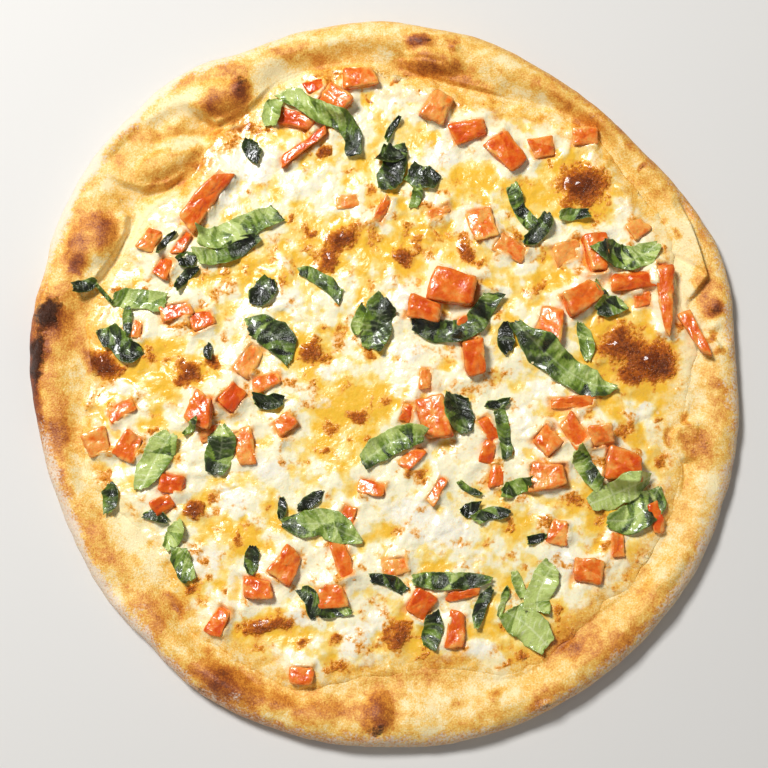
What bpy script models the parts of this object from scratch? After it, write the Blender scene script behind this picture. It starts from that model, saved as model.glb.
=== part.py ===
"""A whole caprese pizza: a baked crust, melted cheese, diced tomato and torn basil.

Metres, +Z up. The origin is under the middle of the pizza, on the surface it rests on.
+X is the right of the picture and +Y its top. Places on the pizza are read from the picture,
in pixels, and `place` turns them into metres; sizes are written as real sizes.
"""

import math
from collections import namedtuple

import bmesh
import bpy
import numpy as np
from mathutils import Vector
from mathutils.bvhtree import BVHTree

MM = 0.001

# Driving dimensions.
PIZZA_WIDTH = 0.315          # left to right, at the widest
UNDERSIDE_INSET = 4.5 * MM   # how far the flat underside stays inside the outline
WIDEST_HEIGHT = 3.6 * MM     # height at which the crust is widest
FLANK_WIDTH = 9.0 * MM       # outline to the crest of the rim
FLOOR_HEIGHT = 4.5 * MM      # top of the baked dough under the cheese
EDGE_HEIGHT = 7.6 * MM       # top of the dough where the cheese ends
FOOT_WIDTH = 9.0 * MM        # from the cheese's edge to the flat floor
CHEESE_DEPTH = 3.7 * MM      # usual depth of the cheese
CHEESE_SKIN = 0.8 * MM       # depth of the cheese near its edge
CHEESE_EDGE_WIDTH = 1.2 * MM
CHEESE_BLEND = 2.0 * MM      # how softly the level cheese turns up the rim
LEAF_THICKNESS = 0.6 * MM
FRESH_GAP = 0.3 * MM         # clearance between pieces that lie on each other
TOMATO_ROUNDING = 0.16       # edge bevel, as a share of a dice's smallest side
SINK = 1.6 * MM              # how deep a small topping sits in the cheese it is fused to

# How the picture was taken: nearly straight down, from a little below the middle.
PIZZA_WIDTH_SEEN = 708.0     # pixels, left to right
LENS_PIXELS = 1500.0         # focal length, in pixels
VIEW_TILT = math.radians(7.0)
PICTURE_MIDDLE = 384.0
VIEW_DISTANCE = LENS_PIXELS * PIZZA_WIDTH / PIZZA_WIDTH_SEEN
PIZZA_MIDDLE_SEEN = (384.0, 385.0)

# Mesh fineness. The folded part of the rim has its sides closer together.
SIDES = 160
FOLDED_FROM, FOLDED_TO = math.radians(100), math.radians(176)
FOLDED_FINENESS = 2.0
FLANK_STEPS = (0.03, 0.14, 0.34, 0.62, 1.0)
SLOPE_STEPS = (0.2, 0.42, 0.64, 0.84, 1.0)
CHEESE_RINGS = (             # share of the floor's reach, and how many sides the ring has
    (0.94, 80), (0.88, 80), (0.815, 80), (0.75, 80), (0.68, 80), (0.61, 80), (0.535, 40),
    (0.455, 40), (0.375, 40), (0.295, 40), (0.2, 20), (0.1, 20),
)
LEAF_STEPS_ACROSS = 2
LEAF_STEP_LENGTH = 6.4 * MM
LEAF_RIPPLE = 0.7 * MM       # height of the waves along a leaf
LEAF_WAVE = 15.0 * MM        # their length

# The outline, seen from above, clockwise from the top.
OUTLINE_SEEN = (
    (384, 24), (440, 32), (480, 41), (520, 59), (560, 83), (600, 112), (640, 150), (685, 198),
    (718, 251), (731, 295), (733, 335), (738, 400), (738, 432), (727, 488), (710, 540),
    (697, 568), (664, 616), (615, 666), (550, 710), (480, 737), (400, 747), (330, 743),
    (260, 723), (196, 690), (152, 648), (100, 589), (66, 520), (46, 460), (33, 390), (30, 355),
    (37, 301), (46, 271), (55, 231), (69, 201), (100, 151), (130, 119), (160, 91), (200, 67),
    (240, 55), (290, 37), (330, 28),
)

# The edge of the cheese, seen from above, counterclockwise from the right.
CHEESE_EDGE_SEEN = (
    (690, 380), (699, 345), (682, 300), (673, 250), (658, 215), (640, 190), (618, 162),
    (594, 133), (558, 112), (505, 100), (470, 92), (432, 80), (400, 72), (360, 64), (320, 69),
    (280, 82), (250, 113), (220, 130), (200, 160), (183, 186), (150, 212), (130, 245),
    (108, 285), (86, 315), (92, 365), (80, 430), (88, 480), (127, 520), (160, 565), (188, 625),
    (225, 652), (290, 688), (345, 684), (400, 674), (450, 672), (520, 673), (548, 657),
    (600, 610), (640, 578), (660, 540), (676, 500), (680, 465), (668, 440), (686, 410),
)

# The height of the rim's crest by angle, counterclockwise from +X, in degrees and mm.
CREST = (
    (0, 10.5), (15, 11.5), (30, 11), (45, 11.5), (58, 13), (72, 14), (85, 14), (100, 13),
    (112, 12.5), (125, 12), (140, 11.5), (152, 11), (163, 11.5), (175, 12), (190, 11), (205, 10.5),
    (220, 11), (235, 13.5), (250, 14), (265, 13.5), (280, 13), (295, 13.5), (310, 13.5),
    (325, 12.5), (340, 11.5),
)

# Folded lobes of dough: middle, half length and half width in mm, turn in degrees, crest in mm.
Lobe = namedtuple("Lobe", "name seen_at reach turn crest")
LOBES = (
    Lobe("upper roll", (212, 97), (26, 13), 10, 14.5),
    Lobe("tongue", (161, 163), (23, 10.5), 25, 13.2),
    Lobe("browned knuckle", (88, 242), (24, 17), 58, 13.5),
    Lobe("shoulder above the tongue", (118, 138), (30, 10), 46, 13.5),
    Lobe("top roll", (436, 60), (24, 9), -12, 15),
    Lobe("lower right ridge", (668, 575), (30, 9), 52, 13.5),
)

# Edges of dough folded over: the line as seen, with the high side on its left as it is walked,
# the rise at the edge, how far the rise fades inwards and the dip below the edge, in mm.
Ledge = namedtuple("Ledge", "name seen_along rise reach dip")
LEDGES = (
    Ledge("inner edge of the upper roll",
          ((180, 102), (197, 112), (217, 123), (243, 116), (264, 104), (282, 90)), 3.2, 12, 2.4),
    Ledge("lower edge and tip of the tongue",
          ((100, 170), (122, 183), (142, 188), (166, 184), (190, 169), (204, 151), (201, 140),
           (190, 136)), 1.7, 9, 2.2),
    Ledge("upper edge of the tongue",
          ((206, 146), (190, 137), (172, 138), (150, 144)), 1.3, 6, 1.6),
    Ledge("inner edge of the knuckle",
          ((78, 300), (99, 273), (114, 252), (125, 231), (127, 214), (112, 205)), 1.9, 10, 2.2),
    Ledge("inner edge of the top roll",
          ((396, 60), (425, 76), (450, 82), (485, 89), (512, 98)), 2.4, 10, 1.2),
    Ledge("right petal",
          ((682, 310), (708, 276), (697, 240), (684, 206), (676, 194)), 3.0, 6, 2.0),
    Ledge("right fold",
          ((712, 424), (698, 420), (682, 424), (666, 436), (664, 450), (680, 460), (704, 459)),
          2.6, 7, 1.6),
    Ledge("right bump", ((726, 350), (710, 334), (696, 330)), 1.8, 4, 1.2),
)
LEDGE_STEEPNESS = 1.8 * MM   # width of the steep face at such an edge
LEDGE_DIP_REACH = 9.0 * MM   # how far the dip below it reaches
LEDGE_FADE = 0.22            # share of the line over which it fades at either end

# Blisters and dents on the rim: middle, half length and half width in mm, turn in degrees,
# rise in mm (a dent falls).
Blister = namedtuple("Blister", "name seen_at reach turn rise")
BLISTERS = (
    Blister("valley beside the tongue", (128, 200), (12, 7), 12, -0.8),
    Blister("valley above the tongue", (165, 122), (17, 5), 30, -1.4),
    Blister("hollow by the right petal", (683, 210), (8, 5), -60, -2.0),
    Blister("flat of the left rim", (55, 430), (22, 8), -72, -1.0),
    Blister("flat of the lower left rim", (118, 590), (26, 9), -50, -1.2),
    Blister("bottom blister", (378, 711), (11, 8), 95, 3.4),
    Blister("top blister", (420, 45), (8, 6.5), -10, 2.0),
    Blister("small top blister", (454, 51), (3.5, 2.8), 0, 1.2),
    Blister("upper char", (242, 89), (6, 5.5), 70, 1.6),
    Blister("left char", (48, 318), (9, 7), 60, 1.6),
    Blister("left char, lower", (40, 355), (11, 5), 88, 1.2),
    Blister("right bump", (711, 328), (6, 3.2), 25, 1.8),
    Blister("right char", (714, 308), (5, 3.4), 80, 1.0),
    Blister("lower right char", (545, 706), (7, 4), 20, 1.4),
    Blister("lower right brown", (566, 645), (7, 5.5), 5, 1.8),
    Blister("lower left brown", (222, 682), (17, 7), -25, 1.8),
    Blister("lower brown", (492, 697), (5, 4), 0, 1.0),
)

# Blisters in the cheese: middle, half length and half width in mm, turn in degrees, rise in mm.
CHEESE_BLISTERS = (
    Blister("upper right", (583, 184), (11, 8.5), 40, 2.2),
    Blister("double, left", (624, 350), (10, 12), 0, 1.8),
    Blister("double, right", (656, 362), (10, 8.5), 20, 2.2),
    Blister("centre top", (343, 238), (9, 6.5), 30, 1.8),
    Blister("centre top, low", (330, 260), (5, 6), 0, 1.2),
    Blister("centre right", (404, 257), (6.5, 5), -20, 1.4),
    Blister("far left", (103, 364), (8, 6), -40, 2.2),
    Blister("left", (190, 373), (6.5, 6), 0, 1.6),
    Blister("middle left", (311, 353), (5.5, 5.5), 0, 1.4),
    Blister("lower left", (196, 512), (6, 5), 5, 1.8),
    Blister("bottom", (398, 639), (6, 8), 0, 1.4),
    Blister("bottom arc", (263, 627), (12, 3.5), 10, 1.2),
    Blister("right of centre", (466, 250), (5.5, 5.5), 0, 1.2),
)

# Tomato dice: middle, length, width and height in mm, turn in degrees, and how much the far
# end narrows (0 a block, 1 a point).
Dice = namedtuple("Dice", "name seen_at size turn narrowing")
TOMATOES = (
    Dice("tomato_top_seeded", (359, 78), (13, 10, 5), 8, 0.1),
    Dice("tomato_top_block", (334, 102), (13, 12, 6), -32, 0.15),
    Dice("tomato_top_slab", (297, 121), (15, 8, 4.5), -12, 0.3),
    Dice("tomato_top_strip", (305, 147), (25, 5, 4.5), 38, 0.2),
    Dice("tomato_upper_cube", (438, 106), (13, 12, 6), 62, 0.2),
    Dice("tomato_upper_wedge", (468, 131), (15, 10, 5), 12, 0.3),
    Dice("tomato_upper_round", (505, 151), (15, 11, 5), -48, 0.2),
    Dice("tomato_left_strip", (207, 199), (28, 9, 6), 53, 0.1),
    Dice("tomato_upper_tall", (483, 224), (15, 11, 5), -72, 0.1),
    Dice("tomato_right_tall", (594, 256), (18, 10, 6), -82, 0.15),
    Dice("tomato_right_ribbed", (580, 299), (16, 12, 5.5), 32, 0.25),
    Dice("tomato_right_bar", (630, 283), (17, 8, 5), 8, 0.1),
    Dice("tomato_right_wedge", (666, 299), (32, 10, 7), -90, 0.85),
    Dice("tomato_right_sliver", (696, 335), (19, 7, 5), -65, 0.6),
    Dice("tomato_right_round", (549, 325), (15, 12, 6), 76, 0.2),
    Dice("tomato_centre_post", (472, 356), (15, 9, 5), -80, 0.15),
    Dice("tomato_centre_block", (456, 290), (20, 15, 8), -12, 0.15),
    Dice("tomato_centre_slab", (422, 311), (15, 10, 6), -12, 0.2),
    Dice("tomato_middle_tall", (433, 419), (18, 13, 5.5), -72, 0.2),
    Dice("tomato_right_cube", (547, 441), (12, 11, 5.5), -45, 0.1),
    Dice("tomato_right_lean", (574, 431), (13, 9, 5), -55, 0.15),
    Dice("tomato_right_slab", (549, 476), (17, 12, 5.5), 4, 0.1),
    Dice("tomato_right_upper", (600, 438), (10, 9, 6), 10, 0.15),
    Dice("tomato_right_big", (620, 466), (15, 14, 6), -8, 0.1),
    Dice("tomato_left_dark", (232, 399), (12, 10, 5.5), 50, 0.15),
    Dice("tomato_left_pair", (202, 410), (14, 11, 5.5), 75, 0.2),
    Dice("tomato_bottom_wedge", (286, 565), (15, 11, 5.5), 58, 0.3),
    Dice("tomato_bottom_dome", (257, 588), (12, 10, 5.5), 0, 0.2),
)

# Smaller dice, fused to the cheese.
SMALL_TOMATOES = (
    Dice("far right", (585, 137), (11, 8, 4.5), 0, 0.1),
    Dice("upper", (543, 149), (10, 9, 4.5), 10, 0.1),
    Dice("diamond", (637, 228), (8, 8, 4), 40, 0.0),
    Dice("right pale", (565, 253), (11, 10, 3.5), 20, 0.1),
    Dice("right shadowed", (642, 301), (7, 6, 3.5), 10, 0.1),
    Dice("upper centre", (383, 211), (13, 5, 4), 65, 0.3),
    Dice("upper slab", (439, 212), (11, 5, 3.5), 25, 0.2),
    Dice("upper low", (511, 247), (14, 9, 4), -30, 0.2),
    Dice("upper pale", (346, 201), (10, 5, 3), 10, 0.1),
    Dice("top dark", (316, 87), (8, 6, 4), 20, 0.1),
    Dice("centre small", (425, 378), (9, 5, 4), 90, 0.1),
    Dice("centre tip", (463, 323), (7, 5, 4), 20, 0.1),
    Dice("middle", (407, 412), (9, 6, 4), 80, 0.1),
    Dice("middle strip", (413, 457), (12, 6, 4), 42, 0.2),
    Dice("right flat", (571, 403), (20, 6, 3.5), 3, 0.3),
    Dice("right by the strip", (488, 428), (12, 6, 4), -60, 0.2),
    Dice("right under the strip", (489, 453), (9, 6, 4), 80, 0.1),
    Dice("right post", (495, 475), (11, 6, 4), 85, 0.1),
    Dice("centre left", (285, 426), (10, 9, 4.5), 38, 0.1),
    Dice("left ridge", (268, 380), (12, 7, 4), 18, 0.3),
    Dice("left slope", (249, 360), (15, 9, 3.5), 60, 0.2),
    Dice("left heart", (245, 447), (15, 9, 4.5), -80, 0.3),
    Dice("left nub", (208, 434), (7, 6, 4), 20, 0.1),
    Dice("centre", (373, 488), (11, 7, 4), -8, 0.2),
    Dice("centre strip", (437, 490), (12, 5, 4), 60, 0.2),
    Dice("far left", (96, 443), (11, 10, 4.5), 20, 0.1),
    Dice("left", (130, 446), (12, 10, 4.5), 60, 0.1),
    Dice("left in the cheese", (122, 410), (13, 7, 4), 30, 0.2),
    Dice("lower left", (172, 482), (10, 8, 4.5), -10, 0.1),
    Dice("lower left bead", (163, 506), (8, 7, 4.5), 30, 0.1),
    Dice("left of middle", (174, 312), (14, 8, 4), 12, 0.2),
    Dice("left cluster", (202, 322), (11, 9, 4), 20, 0.2),
    Dice("left edge", (138, 330), (7, 4, 3.5), 80, 0.1),
    Dice("upper left", (151, 241), (10, 8, 4.5), 60, 0.2),
    Dice("upper left, low", (165, 267), (10, 8, 4), 70, 0.2),
    Dice("upper left, thin", (183, 243), (11, 5, 4), 60, 0.2),
    Dice("bottom left", (221, 619), (12, 8, 4.5), 62, 0.2),
    Dice("bottom", (303, 675), (9, 8, 4.5), 0, 0.0),
    Dice("lower middle", (332, 597), (12, 10, 4.5), 10, 0.1),
    Dice("lower post", (343, 559), (16, 7, 4.5), -72, 0.1),
    Dice("lower right", (557, 533), (10, 9, 4.5), 80, 0.1),
    Dice("lower right, dark", (618, 545), (10, 6, 4), 90, 0.1),
    Dice("seeded", (588, 572), (14, 10, 5), -4, 0.1),
    Dice("right low", (655, 519), (12, 6, 4), -75, 0.2),
    Dice("bottom by the leaf", (420, 604), (12, 11, 4.5), 60, 0.1),
    Dice("bottom strip", (462, 593), (14, 5, 3.5), 8, 0.1),
    Dice("bottom post", (457, 631), (15, 8, 4), 80, 0.2),
    Dice("bottom flat", (395, 566), (11, 9, 3.5), 10, 0.2),
    Dice("centre, browned", (347, 517), (10, 8, 3.5), 70, 0.2),
)

# Scraps of basil, fused to the cheese.
SCRAPS = (
    Dice("top fork", (254, 148), (10, 8, 3), -60, 0.5),
    Dice("top stem", (393, 128), (12, 3.5, 3), 60, 0.2),
    Dice("top dark", (393, 150), (12, 9, 3), 10, 0.3),
    Dice("top pale", (415, 196), (10, 5, 3), 80, 0.2),
    Dice("left curl", (186, 258), (8, 7, 3), 20, 0.3),
    Dice("left tail", (187, 278), (13, 4.5, 3), 42, 0.2),
    Dice("left stem", (167, 243), (12, 3.5, 3), 52, 0.3),
    Dice("centre pale", (360, 320), (13, 6, 3), 75, 0.2),
    Dice("right crescent", (575, 214), (13, 6, 3), 5, 0.3),
    Dice("right stack", (611, 307), (13, 9, 3.5), 12, 0.2),
    Dice("right thin", (601, 288), (8, 2.5, 3), -50, 0.2),
    Dice("far left stem", (127, 321), (13, 4.5, 3), 90, 0.2),
    Dice("left flake", (209, 351), (7, 4.5, 3), 90, 0.1),
    Dice("left thin", (191, 426), (9, 3.5, 3), 45, 0.2),
    Dice("right pale", (584, 341), (17, 7, 3), -80, 0.2),
    Dice("right dark", (508, 337), (13, 8, 3), -88, 0.2),
    Dice("middle bow", (498, 402), (10, 4.5, 3), 8, 0.2),
    Dice("cluster thin", (470, 488), (11, 3.5, 3), -30, 0.2),
    Dice("cluster dark", (470, 509), (8, 7, 3), 10, 0.1),
    Dice("cluster low", (492, 517), (15, 6, 3), 10, 0.3),
    Dice("centre low stem", (281, 508), (9, 4, 3), 88, 0.2),
    Dice("centre low", (310, 499), (13, 5.5, 3), 35, 0.2),
    Dice("lower left", (251, 560), (12, 7, 3), 85, 0.2),
    Dice("lower stem", (308, 603), (14, 7, 3), -65, 0.2),
    Dice("lower olive", (335, 613), (14, 7, 3), 5, 0.2),
    Dice("bottom dark", (388, 585), (16, 6, 3), -20, 0.3),
    Dice("bottom long", (452, 580), (34, 8, 3), 0, 0.4),
    Dice("bottom hook", (484, 608), (18, 6, 3), 68, 0.3),
    Dice("bottom thin", (503, 601), (13, 3.5, 3), 72, 0.1),
    Dice("bottom pair", (431, 631), (15, 9, 3), 86, 0.2),
    Dice("lower right tiny", (537, 538), (8, 5, 3), 15, 0.2),
    Dice("bottom right pale", (519, 585), (12, 5, 3), -72, 0.2),
    Dice("left low tuft", (155, 518), (11, 5, 3), -15, 0.2),
    Dice("left low leaf", (171, 534), (13, 8, 3), 68, 0.2),
    Dice("left low fold", (184, 564), (15, 9, 3), -72, 0.2),
    Dice("left low green", (108, 498), (13, 7, 3), 88, 0.2),
    Dice("tuft on the crust", (97, 291), (18, 4, 3), -24, 0.1),
)

# Basil pieces: the middle line as seen, width in mm, share of the width at the two ends,
# how far the edges curl up in degrees, and the tilt to one side in degrees.
Leaf = namedtuple("Leaf", "name seen_along width ends curl tilt")
BASIL = (
    Leaf("basil_top_ribbon",
         ((283, 91), (302, 101), (322, 115), (342, 122), (352, 136), (354, 155)),
         9.0, (0.9, 0.8), 22, 0),
    Leaf("basil_top_fold", ((276, 99), (273, 112), (271, 125)), 9.5, (0.85, 0.6), 45, 0),
    Leaf("basil_top_leaf", ((398, 148), (393, 167), (386, 189)), 11.5, (0.8, 0.7), 25, 4),
    Leaf("basil_top_triangle", ((409, 170), (424, 177), (441, 176)), 10.5, (1.0, 0.12), 18, 0),
    Leaf("basil_left_ribbon",
         ((197, 234), (215, 237), (236, 229), (257, 221), (278, 212)), 10.0, (0.7, 1.0), 20, 0),
    Leaf("basil_left_underfold",
         ((196, 256), (214, 256), (236, 248), (258, 236)), 8.5, (0.9, 0.5), 30, -5),
    Leaf("basil_far_left_ribbon",
         ((113, 298), (128, 298), (147, 300), (166, 302)), 9.0, (0.6, 0.95), 22, 0),
    Leaf("basil_far_left_leaf",
         ((98, 330), (113, 337), (128, 350), (142, 349)), 11.0, (0.2, 0.4), 28, 5),
    Leaf("basil_left_pair", ((270, 277), (263, 291), (255, 304)), 11.0, (0.5, 0.5), 32, 0),
    Leaf("basil_centre_ribbon",
         ((298, 270), (312, 273), (327, 283), (341, 297)), 6.5, (0.6, 1.0), 20, 0),
    Leaf("basil_centre_leaf", ((386, 298), (378, 322), (371, 348)), 14.0, (0.7, 0.7), 24, -4),
    Leaf("basil_left_leaf",
         ((247, 326), (265, 330), (281, 342), (289, 362)), 13.0, (0.6, 0.3), 18, 0),
    Leaf("basil_left_curl", ((254, 399), (268, 402), (283, 401)), 8.0, (0.8, 0.6), 60, 0),
    Leaf("basil_under_tomato",
         ((412, 324), (432, 330), (455, 332), (474, 324), (485, 308), (494, 293)),
         9.5, (0.6, 0.9), 12, 0),
    Leaf("basil_upper_right_leaf",
         ((512, 184), (516, 198), (523, 213), (534, 226)), 7.0, (0.9, 0.8), 28, 0),
    Leaf("basil_upper_right_curl",
         ((547, 212), (545, 224), (535, 236), (524, 241)), 8.0, (0.5, 0.5), 55, 0),
    Leaf("basil_right_leaf",
         ((601, 243), (620, 257), (640, 256), (659, 243)), 11.5, (0.9, 0.2), 16, 0),
    Leaf("basil_long_leaf",
         ((514, 322), (538, 346), (567, 370), (592, 384), (617, 387)), 14.0, (0.3, 0.1), 14, 0),
    Leaf("basil_middle_leaf", ((453, 393), (459, 411), (467, 432)), 12.5, (0.5, 0.5), 28, 0),
    Leaf("basil_middle_roll",
         ((425, 436), (403, 438), (385, 446), (362, 462)), 13.0, (0.4, 0.6), 34, 0),
    Leaf("basil_middle_strip",
         ((499, 408), (502, 422), (506, 440), (507, 458)), 5.5, (0.9, 0.7), 20, 0),
    Leaf("basil_lower_leaf",
         ((281, 523), (303, 524), (326, 524), (345, 533), (362, 542)), 12.0, (0.3, 0.1), 14, 0),
    Leaf("basil_cluster_fan", ((502, 492), (515, 488), (530, 484)), 7.0, (0.6, 0.8), 30, 0),
    Leaf("basil_right_strip", ((576, 450), (586, 468), (599, 489)), 8.0, (0.8, 0.5), 26, 0),
    Leaf("basil_right_half_pale", ((590, 505), (617, 493), (650, 478)), 12.0, (0.5, 0.3), 14, 4),
    Leaf("basil_right_half_dark",
         ((608, 521), (632, 519), (650, 503), (660, 487)), 14.0, (0.4, 0.1), 16, 0),
    Leaf("basil_lower_left_big",
         ((171, 433), (160, 450), (151, 468), (141, 489)), 12.5, (0.6, 0.4), 18, 0),
    Leaf("basil_lower_left_tall", ((222, 425), (221, 448), (214, 474)), 12.0, (0.2, 0.7), 20, 0),
    Leaf("basil_bottom_right_ribbon",
         ((553, 565), (545, 580), (538, 597), (537, 612)), 12.0, (0.7, 0.9), 16, 0),
    Leaf("basil_bottom_right_leaf", ((506, 612), (526, 624), (548, 646)), 15.0, (0.5, 0.6), 14, 0),
)


# ---------------------------------------------------------------- places and interpolation


def place(seen_at, height=0.0):
    """The point in metres that is seen at a pixel, at a height over the resting surface."""
    across = seen_at[0] - PICTURE_MIDDLE
    down = seen_at[1] - PICTURE_MIDDLE
    sine, cosine = math.sin(VIEW_TILT), math.cos(VIEW_TILT)
    scale = (VIEW_DISTANCE * cosine - height) / (LENS_PIXELS * cosine + down * sine)
    x = scale * across
    y = scale * (LENS_PIXELS * sine - down * cosine) - VIEW_DISTANCE * sine
    return np.array([x, y])


MIDDLE = place(PIZZA_MIDDLE_SEEN)


def through(values, at):
    """A smooth curve through values at 0, 1, 2..., read at the numbers in `at`."""
    values = np.asarray(values, float)
    slopes = np.gradient(values, axis=0)
    first = np.clip(np.floor(at).astype(int), 0, len(values) - 2)
    part = (np.asarray(at) - first)[:, None]
    flat = values.reshape(len(values), -1)
    steep = slopes.reshape(len(values), -1)
    before, after = flat[first], flat[first + 1]
    leave, arrive = steep[first], steep[first + 1]
    return (before * (1 + 2 * part) * (1 - part) ** 2 + after * part ** 2 * (3 - 2 * part)
            + leave * part * (1 - part) ** 2 - arrive * part ** 2 * (1 - part))


def around(angle, knots, values):
    """A smooth closed curve of a value by angle, through the values at the knots."""
    order = np.argsort(knots)
    knots, values = np.asarray(knots)[order], np.asarray(values, float)[order]
    turn = 2 * math.pi
    knots = np.concatenate([knots[-2:] - turn, knots, knots[:2] + turn])
    values = np.concatenate([values[-2:], values, values[:2]])
    slopes = np.gradient(values, knots)
    angle = np.mod(angle - knots[2], turn) + knots[2]
    first = np.clip(np.searchsorted(knots, angle, side="right") - 1, 0, len(knots) - 2)
    step = knots[first + 1] - knots[first]
    part = (angle - knots[first]) / step
    return (values[first] * (1 + 2 * part) * (1 - part) ** 2
            + values[first + 1] * part ** 2 * (3 - 2 * part)
            + slopes[first] * step * part * (1 - part) ** 2
            - slopes[first + 1] * step * part ** 2 * (1 - part))


def knots(points_seen, height):
    """Angle and radius of each point of a closed line, about the pizza's middle."""
    points = np.array([place(seen_at, height) - MIDDLE for seen_at in points_seen])
    return np.arctan2(points[:, 1], points[:, 0]), np.hypot(points[:, 0], points[:, 1])


OUTLINE_ANGLES, OUTLINE_RADII = knots(OUTLINE_SEEN, WIDEST_HEIGHT)
EDGE_ANGLES, EDGE_RADII = knots(CHEESE_EDGE_SEEN, EDGE_HEIGHT)
CREST_ANGLES = np.radians([degrees for degrees, _ in CREST])
CREST_HEIGHTS = np.array([height * MM for _, height in CREST])


def outline_radius(angle):
    return around(angle, OUTLINE_ANGLES, OUTLINE_RADII)


def rim_width(angle):
    """How far inside the outline the cheese ends."""
    return outline_radius(angle) - around(angle, EDGE_ANGLES, EDGE_RADII)


def flank_width(angle):
    return np.minimum(FLANK_WIDTH, 0.5 * rim_width(angle))


def ease(share):
    """Falls from 1 to 0 as a share goes from 0 to 1, level at both ends."""
    return 0.5 + 0.5 * np.cos(math.pi * np.clip(share, 0.0, 1.0))


def noise(x, y, cell, seed):
    """Smooth noise from -1 to 1: random values at the corners of square cells, eased between."""
    size = 64
    corners = np.random.default_rng(seed).uniform(-1.0, 1.0, (size, size))
    gx, gy = np.asarray(x) / cell + size / 2, np.asarray(y) / cell + size / 2
    column, row = np.floor(gx).astype(int), np.floor(gy).astype(int)
    right, up = gx - column, gy - row
    right, up = (part * part * (3 - 2 * part) for part in (right, up))
    column, row = column % size, row % size
    next_column, next_row = (column + 1) % size, (row + 1) % size
    low = corners[row, column] * (1 - right) + corners[row, next_column] * right
    high = corners[next_row, column] * (1 - right) + corners[next_row, next_column] * right
    return low * (1 - up) + high * up


def softer_max(one, other, blend):
    """The larger of two heights, with a rounded change from one to the other."""
    share = np.clip(0.5 + 0.5 * (one - other) / blend, 0.0, 1.0)
    return other + (one - other) * share + blend * share * (1 - share)


# ---------------------------------------------------------------- the forms, as heights


def from_middle_of(x, y, spot):
    """How far a point is from a lobe or blister, as a share of its reach in that direction."""
    middle = place(spot.seen_at, 2 * FLOOR_HEIGHT) - MIDDLE
    turn = math.radians(spot.turn)
    along = (x - middle[0]) * math.cos(turn) + (y - middle[1]) * math.sin(turn)
    across = (y - middle[1]) * math.cos(turn) - (x - middle[0]) * math.sin(turn)
    return np.hypot(along / (spot.reach[0] * MM), across / (spot.reach[1] * MM))


def risen(x, y, blisters):
    """The height that a group of blisters adds: a round swell with a soft foot for each."""
    height = np.zeros_like(x)
    for blister in blisters:
        share = np.clip(from_middle_of(x, y, blister), 0.0, 1.0)
        height = height + blister.rise * MM * (1 - share ** 2) ** 2
    return height


def from_line(x, y, line):
    """How far a point is from a broken line, positive on its left, and the share of the line
    that is walked at its nearest point."""
    nearest, signed, walked = np.full_like(x, 1.0), np.zeros_like(x), np.zeros_like(x)
    before = 0.0
    for start, end in zip(line, line[1:]):
        length = np.hypot(*(end - start))
        step = (end - start) / length
        along = (x - start[0]) * step[0] + (y - start[1]) * step[1]
        left = (y - start[1]) * step[0] - (x - start[0]) * step[1]
        along = np.clip(along, 0.0, length)
        gap = np.hypot(x - start[0] - along * step[0], y - start[1] - along * step[1])
        closer = gap < nearest
        nearest = np.where(closer, gap, nearest)
        signed = np.where(closer, np.sign(left) * gap, signed)
        walked = np.where(closer, before + along, walked)
        before += length
    return signed, walked / before


def ledged(x, y):
    """The height that folded edges add: on the high side of each line a rise that is steep at
    the line and fades inwards, on the low side a dip. Both fade at the line's two ends."""
    height = np.zeros_like(x)
    for ledge in LEDGES:
        line = [place(seen_at, 2.5 * FLOOR_HEIGHT) - MIDDLE for seen_at in ledge.seen_along]
        signed, share = from_line(x, y, line)
        window = ease(1 - share / LEDGE_FADE) * ease(1 - (1 - share) / LEDGE_FADE)
        step_up = 1 - ease(signed / LEDGE_STEEPNESS + 0.5)
        high = step_up * np.exp(-np.maximum(signed, 0) / (ledge.reach * MM))
        low = (1 - step_up) * np.exp(-(np.minimum(signed, 0) / LEDGE_DIP_REACH) ** 2)
        height = height + window * (ledge.rise * high - ledge.dip * low) * MM
    return height


def crust_top(x, y):
    """The crust's upper side: a ridge that falls to the cheese's edge and on to a flat floor."""
    angle, radius = np.arctan2(y, x), np.hypot(x, y)
    inward = np.maximum(outline_radius(angle) - radius, 0.0)
    width, flank = rim_width(angle), flank_width(angle)
    height = around(angle, CREST_ANGLES, CREST_HEIGHTS)
    fall = np.clip((inward - flank) / (width - flank), 0.0, 1.0)
    top = EDGE_HEIGHT + (height - EDGE_HEIGHT) * ease(fall)
    folded = top
    for lobe in LOBES:
        share = np.clip(from_middle_of(x, y, lobe), 0.0, 1.0)
        dome = lobe.crest * MM * (1 - share ** 2.6)
        folded = softer_max(dome, folded, 1.5 * MM)
    folded = folded + risen(x, y, BLISTERS) + 0.5 * MM * noise(x, y, 14 * MM, 3) + ledged(x, y)
    top = top + (folded - top) * ease((fall - 0.84) / 0.16)
    top = FLOOR_HEIGHT + (top - FLOOR_HEIGHT) * ease((inward - width) / FOOT_WIDTH)
    rounded = (1 - (1 - np.clip(inward / flank, 0.0, 1.0)) ** 2.2) ** (1 / 2.2)
    return WIDEST_HEIGHT + (top - WIDEST_HEIGHT) * rounded


def cheese_top(x, y):
    """The cheese's upper side: level and lumpy in the middle, a thin skin up the rim."""
    level = FLOOR_HEIGHT + FRESH_GAP + CHEESE_DEPTH
    level = level + 0.9 * MM * noise(x, y, 17 * MM, 11) + 0.5 * MM * noise(x, y, 9 * MM, 12)
    level = level + risen(x, y, CHEESE_BLISTERS)
    skin = crust_top(x, y) + FRESH_GAP + CHEESE_SKIN
    return softer_max(level, skin, CHEESE_BLEND)


# ---------------------------------------------------------------- meshes


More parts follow.
